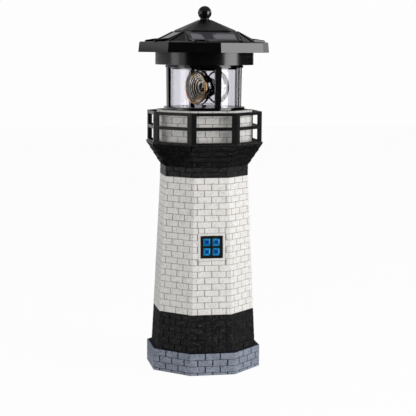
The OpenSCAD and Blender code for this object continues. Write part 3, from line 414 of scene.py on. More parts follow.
def cell_finish(name, cell, finger):
    """Solar cells under clear resin: fine silver lines across dark strips."""
    kit = Finish(name, Coat_Weight=1.0, Coat_Roughness=0.03, Roughness=0.35)
    scale = {"Vector": kit.place["Object"], "Scale": 420.0}
    crystal = kit.spread(kit.make("ShaderNodeTexVoronoi", scale, feature="F1"), 0.0)
    body = kit.blend(crystal, tone(cell, 0.7), tone(cell, 1.8))
    # lines along each axis: their number, the width of one as a share, and their strength
    for axis, (number, width, strength) in zip(kit.split("UV"), ((34, 0.12, 0.35), (4, 0.09, 0.8))):
        place = kit.work("FRACT", kit.work("MULTIPLY", axis, number))
        line = kit.work("MULTIPLY", kit.work("LESS_THAN", place, width), strength)
        body = kit.blend(line, body, finger)
    return kit.wired(Base_Color=body, Normal=kit.relief(kit.grain(200, 2), 0.004 * MM))


def board_finish(name):
    """Green varnish over copper tracks."""
    kit = Finish(name, Coat_Weight=0.5, Coat_Roughness=0.15)
    tracks = {
        "Vector": kit.where((420, 420, 420)),
        "Color1": (0.004, 0.09, 0.035, 1),
        "Color2": (0.006, 0.14, 0.05, 1),
        "Mortar": (0.02, 0.26, 0.1, 1),
        "Mortar Size": 0.05,
    }
    grain = kit.grain(1500, 3)
    body, sheen = kit.make("ShaderNodeTexBrick", tracks), kit.spread(grain, 0.3, 0.7, 0.3, 0.5)
    return kit.wired(Base_Color=body, Roughness=sheen, Normal=kit.relief(grain, 0.01 * MM))


def sleeve_finish(name):
    """Battery sleeve: green film with a paler band at one end."""
    kit = Finish(name, Coat_Weight=0.6, Coat_Roughness=0.08)
    band_start = 17 * MM
    band = kit.work("GREATER_THAN", kit.split("Object")[0], band_start)
    body = kit.blend(band, (0.02, 0.22, 0.11), (0.55, 0.56, 0.55))
    body = kit.blend(kit.spread(kit.grain(300, 4), 0.4, 0.8, 0.0, 0.3), body, (0.01, 0.12, 0.06))
    grain = kit.grain(900, 3)
    sheen = kit.spread(grain, 0.3, 0.7, 0.2, 0.4)
    return kit.wired(Base_Color=body, Roughness=sheen, Normal=kit.relief(grain, 0.006 * MM))


FINISHES = {}


def finish(name, make, *colours, **look):
    """The named finish, made once."""
    if name not in FINISHES:
        FINISHES[name] = make(name, *(tuple(shade) for shade in colours), **look)
    return FINISHES[name]


def common(name):
    """A finish that several pieces wear."""
    plastic = bpy.context.scene.lighthouse_plastic
    satin = {"roughness": 0.34, "orange": 0.012 * MM, "gloss": 0.22}
    make, shade, look = {
        "gloss_black_plastic": (moulded_plastic, plastic.black, {"roughness": 0.09}),
        "satin_black_plastic": (moulded_plastic, plastic.rail, satin),
        "white_plastic": (moulded_plastic, (0.72, 0.72, 0.69), {"roughness": 0.38}),
        "grey_plastic": (moulded_plastic, (0.07, 0.072, 0.08), {"roughness": 0.45}),
        "screw_zinc": (plain_metal, (0.55, 0.56, 0.57), {"brushed": (1, 1, 5)}),
    }[name]
    return finish(name, make, shade, **look)


# Meshes


def linked(name, data):
    """A new object in the scene."""
    made = bpy.data.objects.new(name, data)
    bpy.context.scene.collection.objects.link(made)
    return made


def meshed(name, shape):
    """A new mesh from a shape that is done with."""
    mesh = bpy.data.meshes.new(name)
    shape.to_mesh(mesh)
    shape.free()
    return mesh


def wear(piece, material):
    """One finish all over a piece or a CAD node."""
    piece.data.materials.clear()
    piece.data.materials.append(material)


def settle(piece, slot, nodes, body):
    """Hides the CAD nodes that a piece stands for and puts the piece on its body. The slot is not
    used.
    """
    if nodes:
        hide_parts(*nodes)
    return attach(piece, body)


def place(name, mesh, body, slot, nodes, materials):
    """Puts a finished mesh in the scene, on its body."""
    for material in materials:
        mesh.materials.append(material)
    return settle(linked(name, mesh), slot, nodes, body)


def node_mesh(node):
    """A merged copy of a CAD node's mesh, with its flat areas joined up."""
    shape = bmesh.new()
    shape.from_mesh(frame["nodes"][node].data)
    same, flat = 0.5e-6, math.radians(0.6)
    bmesh.ops.remove_doubles(shape, verts=shape.verts, dist=same)
    bmesh.ops.dissolve_limit(shape, angle_limit=flat, verts=shape.verts, edges=shape.edges)
    bmesh.ops.dissolve_degenerate(shape, dist=same, edges=shape.edges)
    return shape


def made_plain(piece):
    """A mesh with the result of a piece's modifiers."""
    bpy.context.view_layer.update()
    graph = bpy.context.evaluated_depsgraph_get()
    return bpy.data.meshes.new_from_object(piece.evaluated_get(graph))


def steady(mesh, split=SHARP_EDGE):
    """Corner normals that follow the larger faces: flats shade flat and only edges look round."""
    corners, faces = len(mesh.loops), len(mesh.polygons)
    verts, counts = np.empty(corners, np.int32), np.empty(faces, np.int32)
    normals, areas = np.empty(faces * 3), np.empty(faces)
    mesh.loops.foreach_get("vertex_index", verts)
    mesh.polygons.foreach_get("loop_total", counts)
    mesh.polygons.foreach_get("normal", normals)
    mesh.polygons.foreach_get("area", areas)
    order = np.argsort(verts, kind="stable")
    face = np.repeat(np.arange(faces), counts)[order]
    verts, normal = verts[order], normals.reshape(-1, 3)[face]
    pull = normal * areas[face, None]
    total = pull.copy()
    for step in range(1, np.bincount(verts).max()):
        close = (normal[step:] * normal[:-step]).sum(1) > math.cos(math.radians(split))
        use = close & (verts[step:] == verts[:-step])
        total[:-step][use] += pull[step:][use]
        total[step:][use] += pull[:-step][use]
    length = np.linalg.norm(total, axis=1, keepdims=True)
    total = np.where(length > 0, total / np.maximum(length, 1e-30), normal)
    spread = np.empty_like(total)
    spread[order] = total
    mesh.shade_smooth()
    mesh.normals_split_custom_set(spread.tolist())


def softened(node, name, slot, material, edge=0.25, corner=15.0, segments=2):
    """Stands for a CAD node: the same shape with its sharp edges rounded off by some mm."""
    piece = linked(name, meshed(name, node_mesh(node)))
    bevel = piece.modifiers.new("edges", "BEVEL")
    bevel.width = edge * MM
    bevel.segments = segments
    bevel.limit_method = "ANGLE"
    bevel.angle_limit = math.radians(corner)
    bevel.use_clamp_overlap = True
    sharp, piece.data = piece.data, made_plain(piece)
    piece.modifiers.clear()
    bpy.data.meshes.remove(sharp)
    steady(piece.data)
    wear(piece, material)
    return settle(piece, slot, [node], frame["nodes"][node]["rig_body"])


def flat_at(node, level):
    """Distance from the axis to a flat of an eight-sided node at one height."""
    verts = frame["nodes"][node].data.vertices
    return max(abs(vert.co.x) for vert in verts if abs(vert.co.z - level) < 0.02 * MM)


def skinned(shape, rows):
    """Faces between neighbouring rings of points."""
    made = []
    for first, second in zip(rows, rows[1:]):
        for i in range(len(first)):
            j = (i + 1) % len(first)
            made.append(shape.faces.new((first[i], first[j], second[j], second[i])))
    return made


# Bricks


def brick_tree():
    """Geometry Nodes that turn each point into one rounded brick of its wall.

    A brick is a cube of 4 x 4 x 4 points. Its outer points lie at the ends, levels and distances
    that the wall's point carries, and the inner ones are drawn in by the rounding.
    """
    tree = bpy.data.node_groups.new("Brick Courses", "GeometryNodeTree")
    kinds = {"Geometry": "Geometry", "Rounding": "Float", "Depth": "Float", "Wobble": "Float"}
    for name, kind in (kinds | {"Seed": "Int", "Paint": "Material"}).items():
        tree.interface.new_socket(name, in_out="INPUT", socket_type="NodeSocket" + kind)
    tree.interface.new_socket("Geometry", in_out="OUTPUT", socket_type="NodeSocketGeometry")

    def make(kind, inputs=None, **settings):
        return add_node(tree, kind, inputs, **settings).outputs[0]

    def work(kind, a, b=0.0, c=0.0):
        return make("ShaderNodeMath", {0: a, 1: b, 2: c}, operation=kind)

    def stored(name):
        value = make("GeometryNodeInputNamedAttribute", {"Name": name}, data_type="FLOAT_VECTOR")
        return add_node(tree, "ShaderNodeSeparateXYZ", {0: value}).outputs

    def either(second, a, b):
        return work("MULTIPLY_ADD", work("SUBTRACT", b, a), second, a)

    given = add_node(tree, "NodeGroupInput").outputs
    cube = make("GeometryNodeMeshCube", {"Vertices X": 4, "Vertices Y": 4, "Vertices Z": 4})
    marked = make(
        "GeometryNodeStoreNamedAttribute",
        {"Geometry": cube, "Name": "shape", "Value": make("GeometryNodeInputPosition")},
        data_type="FLOAT_VECTOR",
        domain="POINT",
    )
    laid = {"Points": given["Geometry"], "Instance": marked}
    solid = make("GeometryNodeRealizeInstances", {0: make("GeometryNodeInstanceOnPoints", laid)})

    shape = stored("shape")
    high = [work("GREATER_THAN", shape[axis], 0.0) for axis in range(3)]
    sign = [work("MULTIPLY_ADD", flag, 2.0, -1.0) for flag in high]
    # a cube's outer points are 0.5 from its middle and the inner ones a sixth
    outer = [work("GREATER_THAN", work("ABSOLUTE", shape[axis]), 0.4) for axis in range(3)]
    # points that are outer on two axes or three are on the edges, which are drawn in too
    on_edge = work("GREATER_THAN", work("ADD", work("ADD", outer[0], outer[1]), outer[2]), 1.5)
    edge_share = 0.3
    drawn = work("MULTIPLY", on_edge, work("MULTIPLY", given["Rounding"], edge_share))
    inset = [
        work("MULTIPLY", either(outer[axis], given["Rounding"], drawn), sign[axis])
        for axis in range(3)
    ]
    left, right, level, out = (stored(name) for name in ("left", "right", "level", "out"))
    across = either(high[0], *(either(high[2], end[0], end[1]) for end in (left, right)))
    stand = work("MULTIPLY", level[2], given["Wobble"])
    back = work("SUBTRACT", work("MULTIPLY", high[1], given["Depth"]), inset[1])
    spot = {
        0: work("SUBTRACT", across, inset[0]),
        1: work("SUBTRACT", work("ADD", back, stand), either(high[2], out[0], out[1])),
        2: work("SUBTRACT", either(high[2], level[0], level[1]), inset[2]),
    }
    turned = {"Vector": make("ShaderNodeCombineXYZ", spot), "Angle": out[2]}
    turned = make("ShaderNodeVectorRotate", turned, rotation_type="Z_AXIS")
    wall = make("GeometryNodeSetPosition", {"Geometry": solid, "Position": turned})
    cloud = {"W": given["Seed"], "Scale": 420.0, "Detail": 2.0}
    cloud = add_node(tree, "ShaderNodeTexNoise", cloud, noise_dimensions="4D").outputs["Color"]
    stray = make("ShaderNodeVectorMath", {0: cloud, 1: (0.5, 0.5, 0.5)}, operation="SUBTRACT")
    stray = make("ShaderNodeVectorMath", {0: stray, "Scale": given["Wobble"]}, operation="SCALE")
    rough = make("GeometryNodeSetPosition", {"Geometry": wall, "Offset": stray})
    smooth = make("GeometryNodeSetShadeSmooth", {"Geometry": rough})
    painted = {"Geometry": smooth, "Material": given["Paint"]}
    add_node(tree, "NodeGroupOutput", {0: make("GeometryNodeSetMaterial", painted)})
    return tree


def courses_up(bottom, top, count):
    """Levels of evenly spread courses."""
    return [bottom + (top - bottom) * i / count for i in range(count + 1)]


def courses_down(bottom, top, height):
    """Levels of courses counted from the top, with what is left at the bottom."""
    levels = [top]
    while levels[-1] - height > bottom + 0.3 * height:
        levels.append(levels[-1] - height)
    return [bottom, *reversed(levels)]


def taper(low, high, out_low, out_high):
    """Distance from the axis to a wall's flats, as a function of the level."""
    return lambda level: out_low + (out_high - out_low) * ((level - low) / (high - low))


def courses(levels, outer, joint):
    """Rows of a wall, (bottom, top, flat at bottom, flat at top), with level joints between."""
    return [
        (low + (joint / 2 if i else 0), high - joint / 2, outer(low), outer(high))
        for i, (low, high) in enumerate(zip(levels, levels[1:]))
    ]


def lay_wall(rows, length, joint, hole=None):
    """Bricks of one wall on all eight faces, from its rows."""
    stub, shortest, touch = 1.2 * joint, 2.5 * joint, 1e-7
    laid = []
    for index, (low, high, out_low, out_high) in enumerate(rows):
        shift = 0.5 * length if index % 2 else 0.0
        half_low, half_high = out_low * HALF_SIDE, out_high * HALF_SIDE
        half = max(half_low, half_high)
        steps = int(half / length) + 2
        cuts = [shift + step * length for step in range(-steps, steps + 1)]
        edges = [-half, *[cut for cut in cuts if -half + stub < cut < half - stub], half]
        rise = (out_high - out_low) / (high - low)
        for face, (left, right) in product(range(SIDES), zip(edges, edges[1:])):
            spans = [(left, right, low, high)]
            if hole and face == 0:
                spans = round_hole(spans[0], hole, joint)
            for start, end, bottom, top in spans:
                if end - start < shortest or top - bottom < joint:
                    continue
                lefts, rights = (start + joint / 2,) * 2, (end - joint / 2,) * 2
                if start <= -half + touch:
                    lefts = (-half_low, -half_high)
                if end >= half - touch:
                    rights = (half_low, half_high)
                if lefts[0] > rights[0] - joint or lefts[1] > rights[1] - joint:
                    continue
                outs = tuple(out_low + rise * (level - low) for level in (bottom, top))
                laid.append((lefts, rights, (bottom, top), outs, face))
    return laid


def round_hole(span, hole, joint):
    """What a rectangular hole leaves of a brick: the parts beside, under and over it."""
    left, right, low, high = span
    if right <= hole[0] or left >= hole[1] or high <= hole[2] or low >= hole[3]:
        return [span]
    inner = (max(left, hole[0]), min(right, hole[1]))
    parts = [(left, hole[0], low, high), (hole[1], right, low, high)]
    parts += [(*inner, low, hole[2] - joint / 2), (*inner, hole[3] + joint / 2, high)]
    return parts


def surround_bars(low, high, width, outer):
    """Four plain bars round the window, laid as bricks are."""
    reveal, lap, proud = 0.05 * MM, 0.5 * MM, 0.12 * MM
    left, right, bottom, top = low.x - reveal, high.x + reveal, low.z, high.z
    spans = [
        (left - width, left, bottom - width, top + width),
        (right, right + width, bottom - width, top + width),
        (left - lap, right + lap, bottom - width, bottom),
        (left - lap, right + lap, top, top + width),
    ]
    return [
        ((a, a), (b, b), (low, high), (outer(low) + proud, outer(high) + proud), 0)
        for a, b, low, high in spans
    ]


def brick_points(name, laid, seed):
    """One point for each brick, with its ends, levels and distances stored on it."""
    mesh = bpy.data.meshes.new(name)
    mesh.from_pydata([(0, 0, 0)] * len(laid), [], [])
    chance = np.random.default_rng(seed).random(len(laid))
    columns = {
        "left": [(*brick[0], 0.0) for brick in laid],
        "right": [(*brick[1], 0.0) for brick in laid],
        "level": [(*brick[2], chance[i]) for i, brick in enumerate(laid)],
        "out": [(*brick[3], brick[4] * FACE_TURN) for brick in laid],
    }
    for key, rows in columns.items():
        layer = mesh.attributes.new(key, "FLOAT_VECTOR", "POINT")
        layer.data.foreach_set("vector", np.array(rows, np.float32).ravel())
    return mesh


def wall_core(node, outer, depth):
    """The CAD node's mesh with its outer skin drawn in to the bottom of the joints."""
    shape = node_mesh(node)
    turns = [i * FACE_TURN for i in range(SIDES)]
    normals = [Vector((math.sin(turn), -math.cos(turn), 0)) for turn in turns]
    for vert in shape.verts:
        reach = max(vert.co.dot(normal) for normal in normals)
        limit = outer(vert.co.z) - depth
        if reach > limit:
            vert.co.x *= limit / reach
            vert.co.y *= limit / reach
    return meshed(node + "_core", shape)


def brick_piece(name, node, slot, laid, core, paints):
    """Joins the bricks and the wall behind them into one piece that stands for the node."""
    bricks = bpy.context.scene.lighthouse_bricks
    points = linked(name + "_points", brick_points(name, laid, bricks.seed))
    tree = bpy.data.node_groups.get("Brick Courses") or brick_tree()
    nodes = points.modifiers.new("bricks", "NODES")
    nodes.node_group = tree
    values = {"Rounding": bricks.rounding, "Depth": BRICK_DEPTH, "Wobble": bricks.wobble}
    values |= {"Seed": bricks.seed, "Paint": paints[1]}
    for item in tree.interface.items_tree:
        if item.in_out == "INPUT" and item.name in values:
            nodes[item.identifier] = values[item.name]
    walls = made_plain(points)
    bpy.data.objects.remove(points)
    shape = bmesh.new()
    for index, layer in enumerate((core, walls)):
        first = len(shape.faces)
        shape.from_mesh(layer)
        shape.faces.ensure_lookup_table()
        for face in shape.faces[first:]:
            face.material_index = index
            face.smooth = bool(index)
    stored = shape.verts.layers.float_vector
    while stored.values():
        stored.remove(stored.values()[0])
    mesh = meshed(name, shape)
    steady(mesh)
    place(name, mesh, "tower", slot, [node], paints)


class LIGHTHOUSE_OT_bricks(bpy.types.Operator):
    """Lays the bricks of the plinth, foot band, shaft, corbel and drum"""

    bl_idname = "lighthouse.bricks"
    bl_label = "Brickwork"

    def execute(self, context):
        bricks = context.scene.lighthouse_bricks
        joint, white_slot, black_slot = bricks.joint, "white_tower_paint", "black_tower_paint"
        white, black, stone = self.paints(context.scene.lighthouse_paint)
        walls = [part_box(node)[1] for node in ("plinth", "foot_band", "shaft", "corbel", "drum")]
        plinth_top, foot_top, shaft_top, deck, drum_top = (high.z for high in walls)
        plinth_out, foot_out, shaft_out, corbel_out = (high.x for high in walls[:4])
        neck_out, drum_out = flat_at("shaft", shaft_top), flat_at("drum", drum_top)
        shy = 0.04 * MM  # a top course ends just under the next piece

        def even(low, high, outer, count=None):
            levels = courses_up(low, high, count or round((high - low) / bricks.course))
            return courses(levels, outer, joint)

        def laid(rows, hole=None):
            return lay_wall(rows, bricks.length, bricks.upright, hole)

        outer = taper(0, plinth_top, plinth_out, plinth_out)
        rows = courses(courses_down(0.0, plinth_top, bricks.plinth_course), outer, joint)
        rows[-1] = (rows[-1][0], plinth_top - shy, *rows[-1][2:])
        stones = lay_wall(rows, bricks.plinth_length, bricks.plinth_upright)
        self.wall("plinth", "grey_stone_paint", stone, stones, outer)

        outer = taper(plinth_top, foot_top, foot_out, shaft_out)
        rows = even(plinth_top, foot_top, outer)
        self.wall("foot_band", black_slot, black, laid(rows), outer)

        low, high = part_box("window_frame")
        edge = bricks.surround
        hole = (low.x - edge, high.x + edge, low.z - edge, high.z + edge)
        outer = taper(foot_top, shaft_top, shaft_out, neck_out)
        bars = surround_bars(low, high, edge, outer)
        rows = even(foot_top, shaft_top, outer)
        self.wall("shaft", white_slot, white, laid(rows, hole) + bars, outer)

        neck_top, lip = shaft_top + bricks.neck, deck - bricks.lip
        slope = taper(neck_top, lip, neck_out, corbel_out)
        rows = even(shaft_top, neck_top, taper(shaft_top, neck_top, neck_out, neck_out), 2)
        rows += even(neck_top, lip, slope, 4)
        rows.append((lip + joint / 3, deck - 0.03 * MM, corbel_out, corbel_out))

        def skin(level):
            return slope(min(lip, max(neck_top, level)))

        self.wall("corbel", black_slot, black, laid(rows), skin)

        outer = taper(deck, drum_top, drum_out, drum_out)
        rows = even(deck, drum_top, outer)
        rows[-1] = (rows[-1][0], drum_top - shy, *rows[-1][2:])
        self.wall("drum", white_slot, white, laid(rows), outer)
        wear(frame["nodes"]["base_plate"], common("grey_plastic"))
        return {"FINISHED"}

    def wall(self, node, slot, paints, laid, outer):
        """One wall of laid bricks, with the CAD node drawn in behind them."""
        core = wall_core(node, outer, bpy.context.scene.lighthouse_bricks.joint_depth)
        brick_piece(node + "_bricks", node, slot, laid, core, paints)

    def paints(self, paint):
        """The paints of the joints and of the bricks, for the white, black and grey walls."""
        black = {"roughness": 0.42, "speckle": 0.3, "height": 0.3 * MM, "gloss": 0.3}
        # the black paint's light flecks are painted glints
        black |= {"painted_glint": (0.042, 0.042, 0.042), "grit": 700, "least": 0.54}
        looks = {
            "white": (0.75, {"height": 0.14 * MM, "gloss": 0.3}),
            "black": (0.7, black),
            "stone": (0.8, {"roughness": 0.6, "speckle": 0.27, "height": 0.2 * MM, "gloss": 0.2}),
        }
        for name, (rough, look) in looks.items():
            skin = finish(name + "_paint", rough_paint, getattr(paint, name), **look)
            shade = getattr(paint, name + "_joint")
            joint = finish(name + "_joint", rough_paint, shade, roughness=rough, gloss=0.2)
            yield joint, skin


# Window, gallery and lantern


class LIGHTHOUSE_OT_window(bpy.types.Operator):
    """Makes the window's frame and its four blue panes"""

    bl_idname = "lighthouse.window"
    bl_label = "Window"

    def execute(self, context):
        paint, window = context.scene.lighthouse_paint, context.scene.lighthouse_window
        black = finish("frame_black", moulded_plastic, paint.black, roughness=0.32)
        softened("window_frame", "window_frame_moulding", "black_tower_paint", black, 0.2)
        blue = finish("blue_pane", pane_finish, paint.pane, paint.pane_edge)
        low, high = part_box("window_panes")
        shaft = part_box("shaft")[1]
        inward = shaft.x - flat_at("shaft", shaft.z)
        lean = math.atan(inward / (shaft.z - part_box("foot_band")[1].z))
        width = high.x - low.x
        light = (width - 2 * window.bar - window.muntin) / 2
        off = (light + window.muntin) / 2
        shape = bmesh.new()
        chart = shape.loops.layers.uv.new("UVMap")
        for vert in bmesh.ops.create_cube(shape, size=1.0)["verts"]:
            vert.co = Vector((vert.co.x * width, vert.co.y * window.slab, vert.co.z * width))
        for side, row in product((-1, 1), repeat=2):
            self.pane(shape, chart, Vector((side * off, 0, row * off)), light, window)
        turn = Matrix.Rotation(-lean, 4, "X")
        shape.transform(Matrix.Translation((low + high) / 2) @ turn)
        mesh = meshed("window_lights", shape)
        place("window_lights", mesh, "tower", "blue_panes", ["window_panes"], [blue])
        return {"FINISHED"}

    def pane(self, shape, chart, middle, light, window):
        """One square pane that swells outwards, with its own UV map."""
        count = 12
        square, round_off = 3.2, 0.6  # powers that keep the swell square and its edges full
        grid = {}
        for i, j in product(range(count + 1), repeat=2):
            u, v = 2 * i / count - 1, 2 * j / count - 1
            bulge = (1 - abs(u) ** square) * (1 - abs(v) ** square)
            y = -window.slab / 2 - window.lift - window.swell * bulge**round_off
            grid[i, j] = shape.verts.new(middle + Vector((u * light / 2, y, v * light / 2)))
        for i, j in product(range(count), repeat=2):
            corners = [(i, j), (i + 1, j), (i + 1, j + 1), (i, j + 1)]
            face = shape.faces.new([grid[corner] for corner in corners])
            face.smooth = True
            for loop, (a, b) in zip(face.loops, corners):
                loop[chart].uv = (a / count, b / count)


class LIGHTHOUSE_OT_gallery(bpy.types.Operator):
    """Finishes the rail round the gallery"""

    bl_idname = "lighthouse.gallery"
    bl_label = "Gallery rail"

    def execute(self, context):
        satin = common("satin_black_plastic")
        softened("gallery_rail", "gallery_rail_moulding", "black_matte_plastic", satin)
        return {"FINISHED"}


class LIGHTHOUSE_OT_lantern(bpy.types.Operator):
    """Finishes the lantern's floor, posts and clear tube"""

    bl_idname = "lighthouse.lantern"
    bl_label = "Lantern"

    def execute(self, context):
        tube = context.scene.lighthouse_plastic.tube
        clear, black = finish("clear_tube", clear_plastic, tube), common("gloss_black_plastic")
        softened("lantern_floor", "lantern_floor_disc", "black_gloss_plastic", black)
        softened("lantern_cage", "lantern_posts", "black_gloss_plastic", black)
        softened("lantern_glass", "lantern_tube", "clear_tube", clear, 0.12)
        return {"FINISHED"}


# Beacon


class LIGHTHOUSE_OT_beacon(bpy.types.Operator):
    """Finishes the turning reflector, its barrel and its lens"""

    bl_idname = "lighthouse.beacon"
    bl_label = "Beacon"

    def execute(self, context):
        plastic = context.scene.lighthouse_plastic
        plating = finish("mirror_plating", ring_plating, plastic.plating, plastic.gilt)
        # black plastic for the ring walls of a reflector that is plated all over: painted dark
        # reflections
        shade = finish("ring_shade", moulded_plastic, plastic.black, roughness=0.3)
        copper = finish("copper_trim", plain_metal, plastic.copper, roughness=0.24)
        lens = finish("clear_lens", clear_plastic, plastic.lens, roughness=0.01)
        black, slot = common("gloss_black_plastic"), "black_gloss_plastic"
        self.yoke(lens, black)
        softened("reflector_bowl", "reflector_back", slot, black, 0.1)
        self.dish(context.scene.lighthouse_beacon, plating, shade)
        softened("reflector_rim", "reflector_band", "copper_trim", copper, 0.12)
        softened("light_barrel", "barrel_tube", "mirror_plating", plating, 0.1)
        softened("lens", "beacon_lens", "clear_lens", lens, 0.1)
        softened("lens_ring", "lens_bezel", slot, black, 0.1)
        return {"FINISHED"}

    def dish(self, beacon, plating, shade):
        """Ringed reflector: each ring is a bright plated flat and a leaning wall in black plastic
        round the beam; the black walls are painted dark reflections between the bright arcs.
        """
        low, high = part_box("reflector_rim")
        middle = (low + high) / 2
        beam = Vector((middle.x, middle.y, 0)).normalized()
        side = UP.cross(beam)
        rings, mouth, base = beacon.rings, beacon.dish_radius, beacon.dish_base
        wall, start = beacon.dish_wall, beacon.dish_start
        step = (beacon.dish_reach - start) / rings

        def rim_of(ring):
            return math.sqrt(base**2 + (mouth**2 - base**2) * (ring / rings))

        profile = []
        for ring in range(rings):
            level = start + step * ring
            profile.append((rim_of(ring), level))
            edge = rim_of(ring + 1) - step * beacon.ring_lean
            profile.append((edge, level + step * beacon.ring_rise))
        profile.append((mouth, beacon.dish_reach))
        for ring in range(rings, -1, -1):
            inset = wall * (1 - ring / rings)
            profile.append((rim_of(ring) + wall, start + step * ring - inset))
        shape, turns = bmesh.new(), 72
        rows = []
        for reach, along in profile:
            row = []
            for i in range(turns):
                turn = math.tau * i / turns
                out = side * math.cos(turn) + UP * math.sin(turn)
                row.append(shape.verts.new(UP * middle.z + beam * along + out * reach))
            rows.append(row)
        for number, face in enumerate(skinned(shape, [*rows, rows[0]])):
            band = number // turns
            # flats wear the plating; the walls and the dish's outside wear black plastic, which on
            # the walls is painted dark reflection
            face.material_index = 0 if band < 2 * rings and band % 2 == 0 else 1
        bmesh.ops.recalc_face_normals(shape, faces=shape.faces)
        mesh = meshed("reflector_rings", shape)
        steady(mesh, 30.0)
        looks = [plating, shade]
        place("reflector_rings", mesh, "rotor", "mirror_plating", ["reflector_dish"], looks)

    def yoke(self, clear, black):
        """Clear band and arms on a black hub and stem."""
        yoke = softened("beacon_frame", "beacon_yoke", "clear_lens", clear, 0.1)
        yoke.data.materials.append(black)
        hub, upright = 3.6 * MM, 0.3
        for face in yoke.data.polygons:
            reach = math.hypot(face.center.x, face.center.y)
            if reach < hub and abs(face.normal.z) < upright:
                face.material_index = 1


# Roof


class LIGHTHOUSE_OT_roof(bpy.types.Operator):
    """Finishes the collar, roof, ribs, cap and finial"""

    bl_idname = "lighthouse.roof"
    bl_label = "Roof"

    def execute(self, context):
        slot, black = "black_gloss_plastic", common("gloss_black_plastic")
        shade = context.scene.lighthouse_plastic.black
        collar = finish("collar_plastic", moulded_plastic, shade, roughness=0.17)
        cap = finish("cap_plastic", moulded_plastic, shade, roughness=0.3)
        softened("collar_housing", "collar", slot, collar, 0.3)
        softened("roof_shell", "roof_moulding", slot, black, 0.5, segments=3)
        softened("roof_cap", "cap_moulding", slot, cap, 0.3)
        softened("finial", "finial_turning", slot, black, 0.15, corner=25)
        self.ribs(context.scene.lighthouse_ribs, slot, black)
        return {"FINISHED"}

    def ribs(self, rib, slot, black):
        """Eight raised ribs beside the hips, which run out over the brim with rounded ends."""
        verts = frame["nodes"]["solar_panel_front"].data.vertices
        brim = min(vert.co.z for vert in verts) - rib.panel_lift
        drift = (rib.foot_side - rib.start_side) / (rib.foot - rib.start)
        foot, end, tip = rib.foot, rib.end, rib.end_height
        # a rib's line, as distances from the axis and heights over the brim
        spine = [
            (rib.start, rib.start_height),
            (rib.bend, rib.bend_height),
            (foot, rib.foot_height),
            (foot + 2.4 * MM, (rib.foot_height + tip) / 2 + 0.1 * MM),
            (foot + 4.4 * MM, tip + 0.2 * MM),
            (end - 1.2 * MM, tip),
            (end - 0.4 * MM, tip * 0.75),
            (end, tip * 0.25),
        ]
        # across in shares of half the width, up in shares of the crown
        section = [(-1, 0), (-1, 0.55), (-0.55, 0.93), (0, 1), (0.55, 0.93), (1, 0.55), (1, 0)]
        shape = bmesh.new()
        for quarter, side in product(range(4), (-1, 1)):
            spin = Matrix.Rotation(rib.turn + quarter * math.pi / 2, 3, "Z")
            rows = []
            for out, height in spine:
                low = brim + max(0, (foot - out) * rib.slope) - rib.sunk
                top = brim + height
                middle = rib.start_side + (out - rib.start) * drift
                crown = min(rib.crown, top - low)
                row = []
                for across, up in section:
                    level = low if up == 0 else top - (1 - up) * crown
                    spot = Vector(((middle + across * rib.width / 2) * side, -out, level))
                    row.append(shape.verts.new(spin @ spot))
                rows.append(row)
            skinned(shape, rows)
            shape.faces.new(rows[0])
            shape.faces.new(rows[-1])
        bmesh.ops.recalc_face_normals(shape, faces=shape.faces)
        mesh = meshed("hip_ribs", shape)
        steady(mesh)
        place("hip_ribs", mesh, frame["nodes"]["roof_shell"]["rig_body"], slot, (), [black])


class LIGHTHOUSE_OT_panels(bpy.types.Operator):
    """Lays the four solar panels on the roof's slopes"""

    bl_idname = "lighthouse.panels"
    bl_label = "Solar panels"

    def execute(self, context):
        plastic = context.scene.lighthouse_plastic
        cells = finish("solar_cells", cell_finish, plastic.cell, plastic.finger)
        for side in ("front", "right", "back", "left"):
            piece = softened("solar_panel_" + side, "panel_" + side, "solar_cells", cells, 0.12)
            self.chart(piece.data)
        return {"FINISHED"}

    def chart(self, mesh):
        """Lays a UV map over the panel, along its length and up its slope."""
        big = max(mesh.polygons, key=lambda face: face.area * (face.normal.z > 0))
        across = UP.cross(big.normal).normalized()
        axes = (across, big.normal.cross(across))
        points = [mesh.vertices[i].co for i in big.vertices]
        spans = [[point.dot(axis) for point in points] for axis in axes]
        layer = mesh.uv_layers.new(name="UVMap")
        for loop in mesh.loops:
            point = mesh.vertices[loop.vertex_index].co
            layer.data[loop.index].uv = [
                (point.dot(axis) - min(span)) / (max(span) - min(span))
                for axis, span in zip(axes, spans)
            ]


class LIGHTHOUSE_OT_drive(bpy.types.Operator):
    """Finishes the drive, the battery, the board and the switch inside the collar"""

    bl_idname = "lighthouse.drive"
    bl_label = "Drive and electrics"

    def execute(self, context):
        satin, white = common("satin_black_plastic"), common("white_plastic")
        painted_glint = {
            "drive_motor": finish("motor_steel", plain_metal, (0.6, 0.6, 0.61), roughness=0.24),
            "motor_pinion": finish("cut_brass", plain_metal, (0.72, 0.5, 0.2), roughness=0.25),
            "beacon_gear": white,
            "lamp_stem": white,
            "switch_slider": white,
            "switch_body": satin,
            "battery_holder": satin,
            "battery": finish("battery_sleeve", sleeve_finish),
            "circuit_board": finish("green_board", board_finish),
            "chassis_plate": common("grey_plastic"),
            "lamp": finish("lamp_dome", moulded_plastic, (0.85, 0.8, 0.55), roughness=0.1),
        }
        plated = ("screws", "battery_contacts", "finial_nut", "spindle_clip")
        for node in frame["nodes"]:
            if node.endswith(plated):
                painted_glint[node] = common("screw_zinc")
        for node, material in painted_glint.items():
            wear(frame["nodes"][node], material)
        return {"FINISHED"}


# Studio


def around(turn, distance, height):
    """A point at a turn from the window's side, a distance and a height."""
    return (math.sin(turn) * distance, -math.cos(turn) * distance, height)


def aimed(piece, spot, direction, axis):
    """Stands a piece at a spot, with one of its axes along a direction."""
    piece.location = spot
    piece.rotation_mode = "QUATERNION"
    piece.rotation_quaternion = Vector(direction).to_track_quat(axis, "Y")
    return piece


